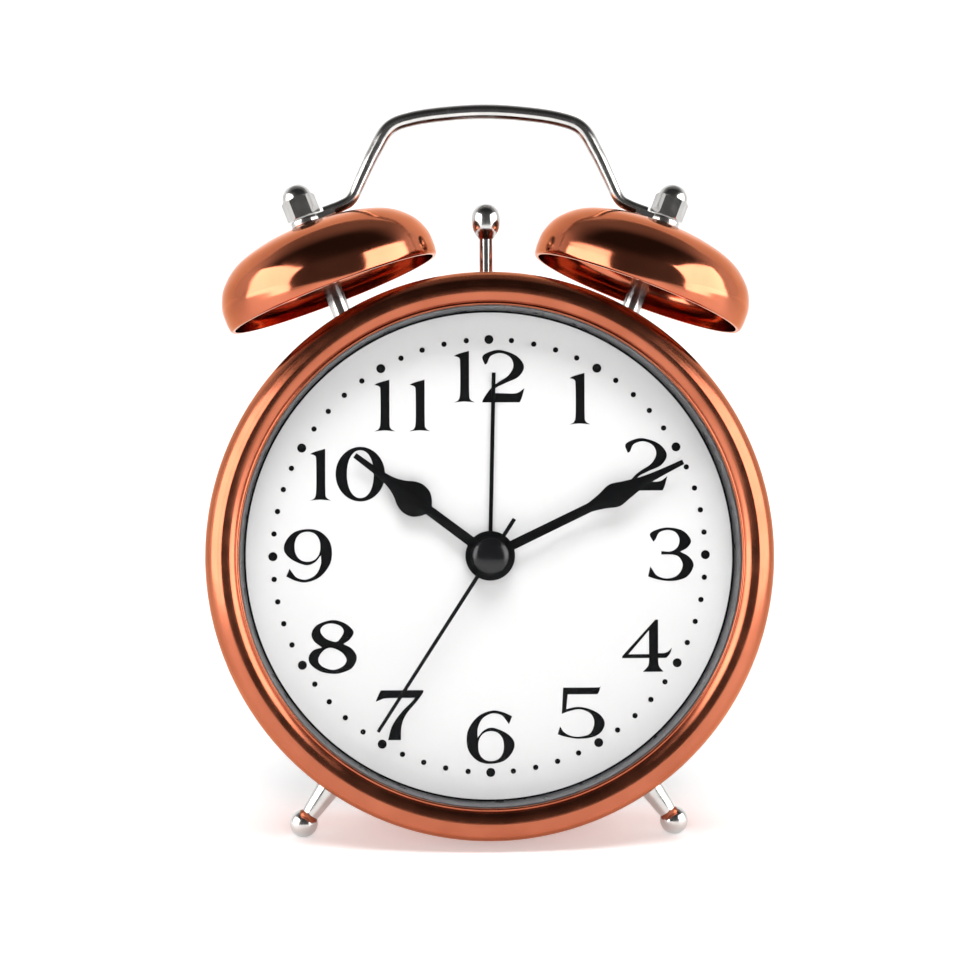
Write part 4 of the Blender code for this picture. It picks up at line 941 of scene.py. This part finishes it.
def make_back():
    inside, outside = COVER_Y
    profile = [(0, inside), (51.2, inside), (51.2, 37.5), (53.2, 37.5), (53.2, inside), (55.0, inside)]
    profile += arc((54.9, 41.6), 0.3, -60, 0, 3) + arc((54.6, 43.4), 0.6, 0, 90, 6)
    profile += arc((53.6, 43.6), 0.4, 90, 180, 4) + [(53.1, outside), (0, outside)]
    cover = add("rear_cover", turned(profile, ROUND), LOOKS["black_plastic"], CLOCK)
    bay = box((-BAY_X - BAY_WALL, BAY_X + BAY_WALL), (BAY_DEPTH_Y - BAY_WALL, 42.0),
              (BAY_Z[0] - BAY_WALL, BAY_Z[1] + BAY_WALL))
    fuse(cover, bay)
    for spot in ("time_set_spin", "alarm_set_spin"):
        x, z = spot_of(spot)
        collar = [(2.0, 42.5), (9.0, 42.5), (9.0, 43.4), (8.4, 43.6), (8.0, 43.2), (2.0, 43.2)]
        fuse(cover, turned(collar, 64, "Y", (x, 0, z)))
        cut(cover, rod(2.0, *COVER_CUT_Y, 32, centre=(x, 0, z)))
    cut(cover, box((-BAY_X, BAY_X), (BAY_DEPTH_Y, 50.0), BAY_Z))
    for x, z in SCREW_SPOTS:
        cut(cover, rod(1.7, *COVER_CUT_Y, 24, centre=(x, 0, z)))
    rim = [(5.2, 42.5), (6.2, 42.5), (6.1, 43.5), (5.3, 43.5)]
    fuse(cover, turned(rim, SMALL_ROUND, "Y", (SWITCH_SPOT[0], 0, SWITCH_SPOT[1])))
    cut(cover, box(*SWITCH_SLOT))
    slice_at_table(cover)
    stand_in(cover, "case", "black_plastic", "back_cover")

    plate = box((-BAY_X + DOOR_GAP, BAY_X - DOOR_GAP), (41.6, outside),
                (BAY_Z[0] + DOOR_GAP, BAY_Z[1] - DOOR_GAP))
    door = add("bay_door", plate, LOOKS["black_plastic"], CLOCK)
    fuse(door, box((-4.0, 4.0), (42.4, 43.8), (-26.2, -24.9)))
    for row in range(5):
        z = -28.6 - 1.3 * row
        fuse(door, box((-7.0 + row, 7.0 - row), (42.6, 43.4), (z - 0.35, z + 0.35)))
    soften(door, 0.15)
    stand_in(door, "battery_door", "black_plastic", "battery_door")

    stem = box((27.0, 29.6), (39.4, 45.4), (12.8, 15.2))
    switch = add("alarm_slider", stem, LOOKS["black_plastic"], CLOCK)
    fuse(switch, box((26.0, 30.6), (38.6, 40.9), (11.2, 16.8)))
    for step in range(3):
        x = 27.65 + 0.65 * step
        cut(switch, box((x - 0.13, x + 0.13), (45.1, 46.0), (12.0, 16.0)))
    soften(switch, 0.12)
    stand_in(switch, "alarm_switch", "black_plastic", "alarm_switch")

    for number, (x, z) in enumerate(SCREW_SPOTS, 1):
        head = [(0, 36.0), (1.2, 36.0), (1.2, 43.2), (2.5, 43.2)]
        head += flow([(2.5, 43.5, CORNER), (2.2, 44.1), (1.2, 44.5), (0, 44.6, CORNER)], 5)
        screw = add(f"cover_screw_{number}", turned(head, 40), LOOKS["steel"],
                    CLOCK @ Matrix.Translation((x * MM, 0, z * MM)))
        for span in (((-1.6, 1.6), (-0.28, 0.28)), ((-0.28, 0.28), (-1.6, 1.6))):
            cut(screw, box(span[0], (44.0, 46.0), span[1]))
        stand_in(screw, "case", "steel", f"back_cover_screw_{number}")


KNOB_Y = (44.2, 50.4)
KNOB_R = 6.0
KNOB_FLUTE = 0.35
KNOB_FLUTES = 24
KNOB_STEPS = 96


def make_knob(name, body, joint):
    """A fluted grip with a shallow dish in its end."""
    x, z = spot_of(joint)
    flutes = []
    for step in range(KNOB_STEPS):
        wave = abs(math.sin(math.pi * step * KNOB_FLUTES / KNOB_STEPS))
        flutes.append(polar(KNOB_R - KNOB_FLUTE + KNOB_FLUTE * wave, 2 * math.pi * step / KNOB_STEPS))
    matrix = CLOCK @ Matrix.Translation((x * MM, 0, z * MM))
    knob = add(name + "_grip", extruded(flutes, *KNOB_Y), LOOKS["black_plastic"], matrix)
    soften(knob, 0.25, angle=60)
    cap = [(0, 50.0), (4.6, 50.0), (4.6, 50.5), (4.3, 50.7), (0, 50.6)]
    fuse(knob, turned(cap, SMALL_ROUND))
    cut(knob, turned([(0, 50.35), (2.6, 50.35), (2.9, 51.5), (0, 51.5)], SMALL_ROUND))
    stand_in(knob, body, "black_plastic", name)


# ===================================== what stays from the CAD ================================
def finish_cad_nodes():
    """CAD nodes that still show take the procedural finish of their slot."""
    slots = {row["node"]: row["material_slot"] for row in frame["record"]["subparts"]}
    for name, node in frame["nodes"].items():
        node.data.materials.clear()
        node.data.materials.append(LOOKS[slots[name]])


# ======================================= light and camera =====================================
FLOOR_GLOW = 0.38
WALL_GLOW = 0.80
SWEEP_X = 2.5
SWEEP_FRONT_Y = -1.2
SWEEP_WALL_Y = 1.6
SWEEP_TOP_Z = 2.6
SWEEP_R = 0.6
ROOM_FRONT = 0.10
ROOM_BACK = 1.0
ROOM_TOP = 0.28
ROOM_TURN_Y = (-0.15, 0.35)
ROOM_TURN_Z = (0.35, 0.85)
GLOW_Y = (0.1, 0.9)
LIGHTS_MIDDLE_Z = 0.075


def make_sweep():
    """A pale floor that curves up into a wall well behind the clock."""
    look = Look("pale_floor", (0.92, 0.92, 0.92), 0.6)
    look.colours(look.noise(40, 4), (0.915, 0.915, 0.915), (0.925, 0.925, 0.925))
    look.shader.inputs["Emission Color"].default_value = (1, 1, 1, 1)
    split = look.nodes.new("ShaderNodeSeparateXYZ")
    look.links.new(look.coords, split.inputs["Vector"])
    glow = map_range(look.nodes, look.links, split.outputs["Y"], GLOW_Y, (FLOOR_GLOW, WALL_GLOW))
    look.links.new(glow, look.shader.inputs["Emission Strength"])
    bend = arc((SWEEP_WALL_Y - SWEEP_R, SWEEP_R), SWEEP_R, -90, 0, 16)
    line = [(SWEEP_FRONT_Y, 0)] + bend + [(SWEEP_WALL_Y, SWEEP_TOP_Z)]
    bm = bmesh.new()
    sides = [[bm.verts.new((x, y, z)) for y, z in line] for x in (-SWEEP_X, SWEEP_X)]
    for step in range(len(line) - 1):
        bm.faces.new((sides[0][step], sides[1][step], sides[1][step + 1], sides[0][step + 1]))
    add("floor_sweep", finish_mesh(bm, smooth_angle=60), look.material, Matrix.Identity(4))


def make_world():
    """A dim room: darkest overhead and in front of the clock, bright behind it."""
    world = bpy.data.worlds.new("studio")
    bpy.context.scene.world = world
    world.use_nodes = True
    nodes, links = world.node_tree.nodes, world.node_tree.links
    coords = nodes.new("ShaderNodeTexCoord")
    split = nodes.new("ShaderNodeSeparateXYZ")
    links.new(coords.outputs["Generated"], split.inputs["Vector"])
    depth = map_range(nodes, links, split.outputs["Y"], ROOM_TURN_Y, (ROOM_FRONT, ROOM_BACK), "SMOOTHSTEP")
    rise = map_range(nodes, links, split.outputs["Z"], ROOM_TURN_Z, (1.0, ROOM_TOP), "SMOOTHSTEP")
    product = nodes.new("ShaderNodeMath")
    product.operation = "MULTIPLY"
    links.new(depth, product.inputs[0])
    links.new(rise, product.inputs[1])
    links.new(product.outputs["Value"], nodes["Background"].inputs["Strength"])
    nodes["Background"].inputs["Color"].default_value = (1, 1, 1, 1)


def softbox(name, azimuth, elevation, distance, size, radiance):
    """A lamp aimed at the clock; azimuth counts from straight ahead of the dial to the right."""
    middle = Vector((0, 0, LIGHTS_MIDDLE_Z))
    turn, rise = math.radians(azimuth), math.radians(elevation)
    away = Vector((math.sin(turn) * math.cos(rise), -math.cos(turn) * math.cos(rise), math.sin(rise)))
    data = bpy.data.lights.new(name, "AREA")
    data.shape = "RECTANGLE"
    data.size, data.size_y = size
    data.energy = radiance * math.pi * size[0] * size[1]
    lamp = bpy.data.objects.new(name, data)
    bpy.context.collection.objects.link(lamp)
    lamp.location = middle + away * distance
    lamp.rotation_euler = (middle - lamp.location).to_track_quat("-Z", "Y").to_euler()
    return lamp


def make_lights():
    """Two cards that only the reflections show, and two lamps that the reflections don't show."""
    for name, azimuth in (("left_card", -68), ("right_card", 68)):
        card = softbox(name, azimuth, elevation=12, distance=0.60, size=(0.62, 0.50), radiance=5.2)
        card.visible_diffuse = False
    overhead = softbox("overhead_key", 0, elevation=62, distance=0.65, size=(0.50, 0.30), radiance=10.0)
    overhead.visible_glossy = False
    front = softbox("front_fill", 0, elevation=8, distance=0.80, size=(0.60, 0.60), radiance=2.6)
    front.visible_glossy = False


CAMERA_AZIMUTH = math.radians(-2.1)
CAMERA_RISE = math.radians(-0.9)
CAMERA_DISTANCE = 0.5
CAMERA_AIM = (-2.1, 5.0, 15.35)
CAMERA_LENS = 92.8


def make_camera():
    aim = CLOCK @ (Vector(CAMERA_AIM) * MM)
    away = Vector((math.sin(CAMERA_AZIMUTH) * math.cos(CAMERA_RISE),
                   -math.cos(CAMERA_AZIMUTH) * math.cos(CAMERA_RISE), math.sin(CAMERA_RISE)))
    away = (CLOCK.to_3x3() @ away).normalized()
    data = bpy.data.cameras.new("camera")
    data.lens = CAMERA_LENS
    data.sensor_width = 36.0
    data.clip_start = 0.01
    camera = bpy.data.objects.new("camera", data)
    bpy.context.collection.objects.link(camera)
    camera.location = aim + away * CAMERA_DISTANCE
    camera.rotation_euler = (-away).to_track_quat("-Z", "Y").to_euler()
    bpy.context.scene.camera = camera


def main():
    finish_cad_nodes()
    make_bezel()
    make_front()
    make_drum()
    make_numerals()
    make_dots()
    make_hands()
    for word in ("left", "right"):
        make_bell(word)
        make_leg(word)
    make_handle()
    make_hammer()
    make_back()
    make_knob("time_set_knob", "time_set_group", "time_set_spin")
    make_knob("alarm_set_knob", "alarm_set_group", "alarm_set_spin")
    make_sweep()
    make_world()
    make_lights()
    make_camera()
    bpy.context.scene.view_settings.view_transform = "Standard"


main()
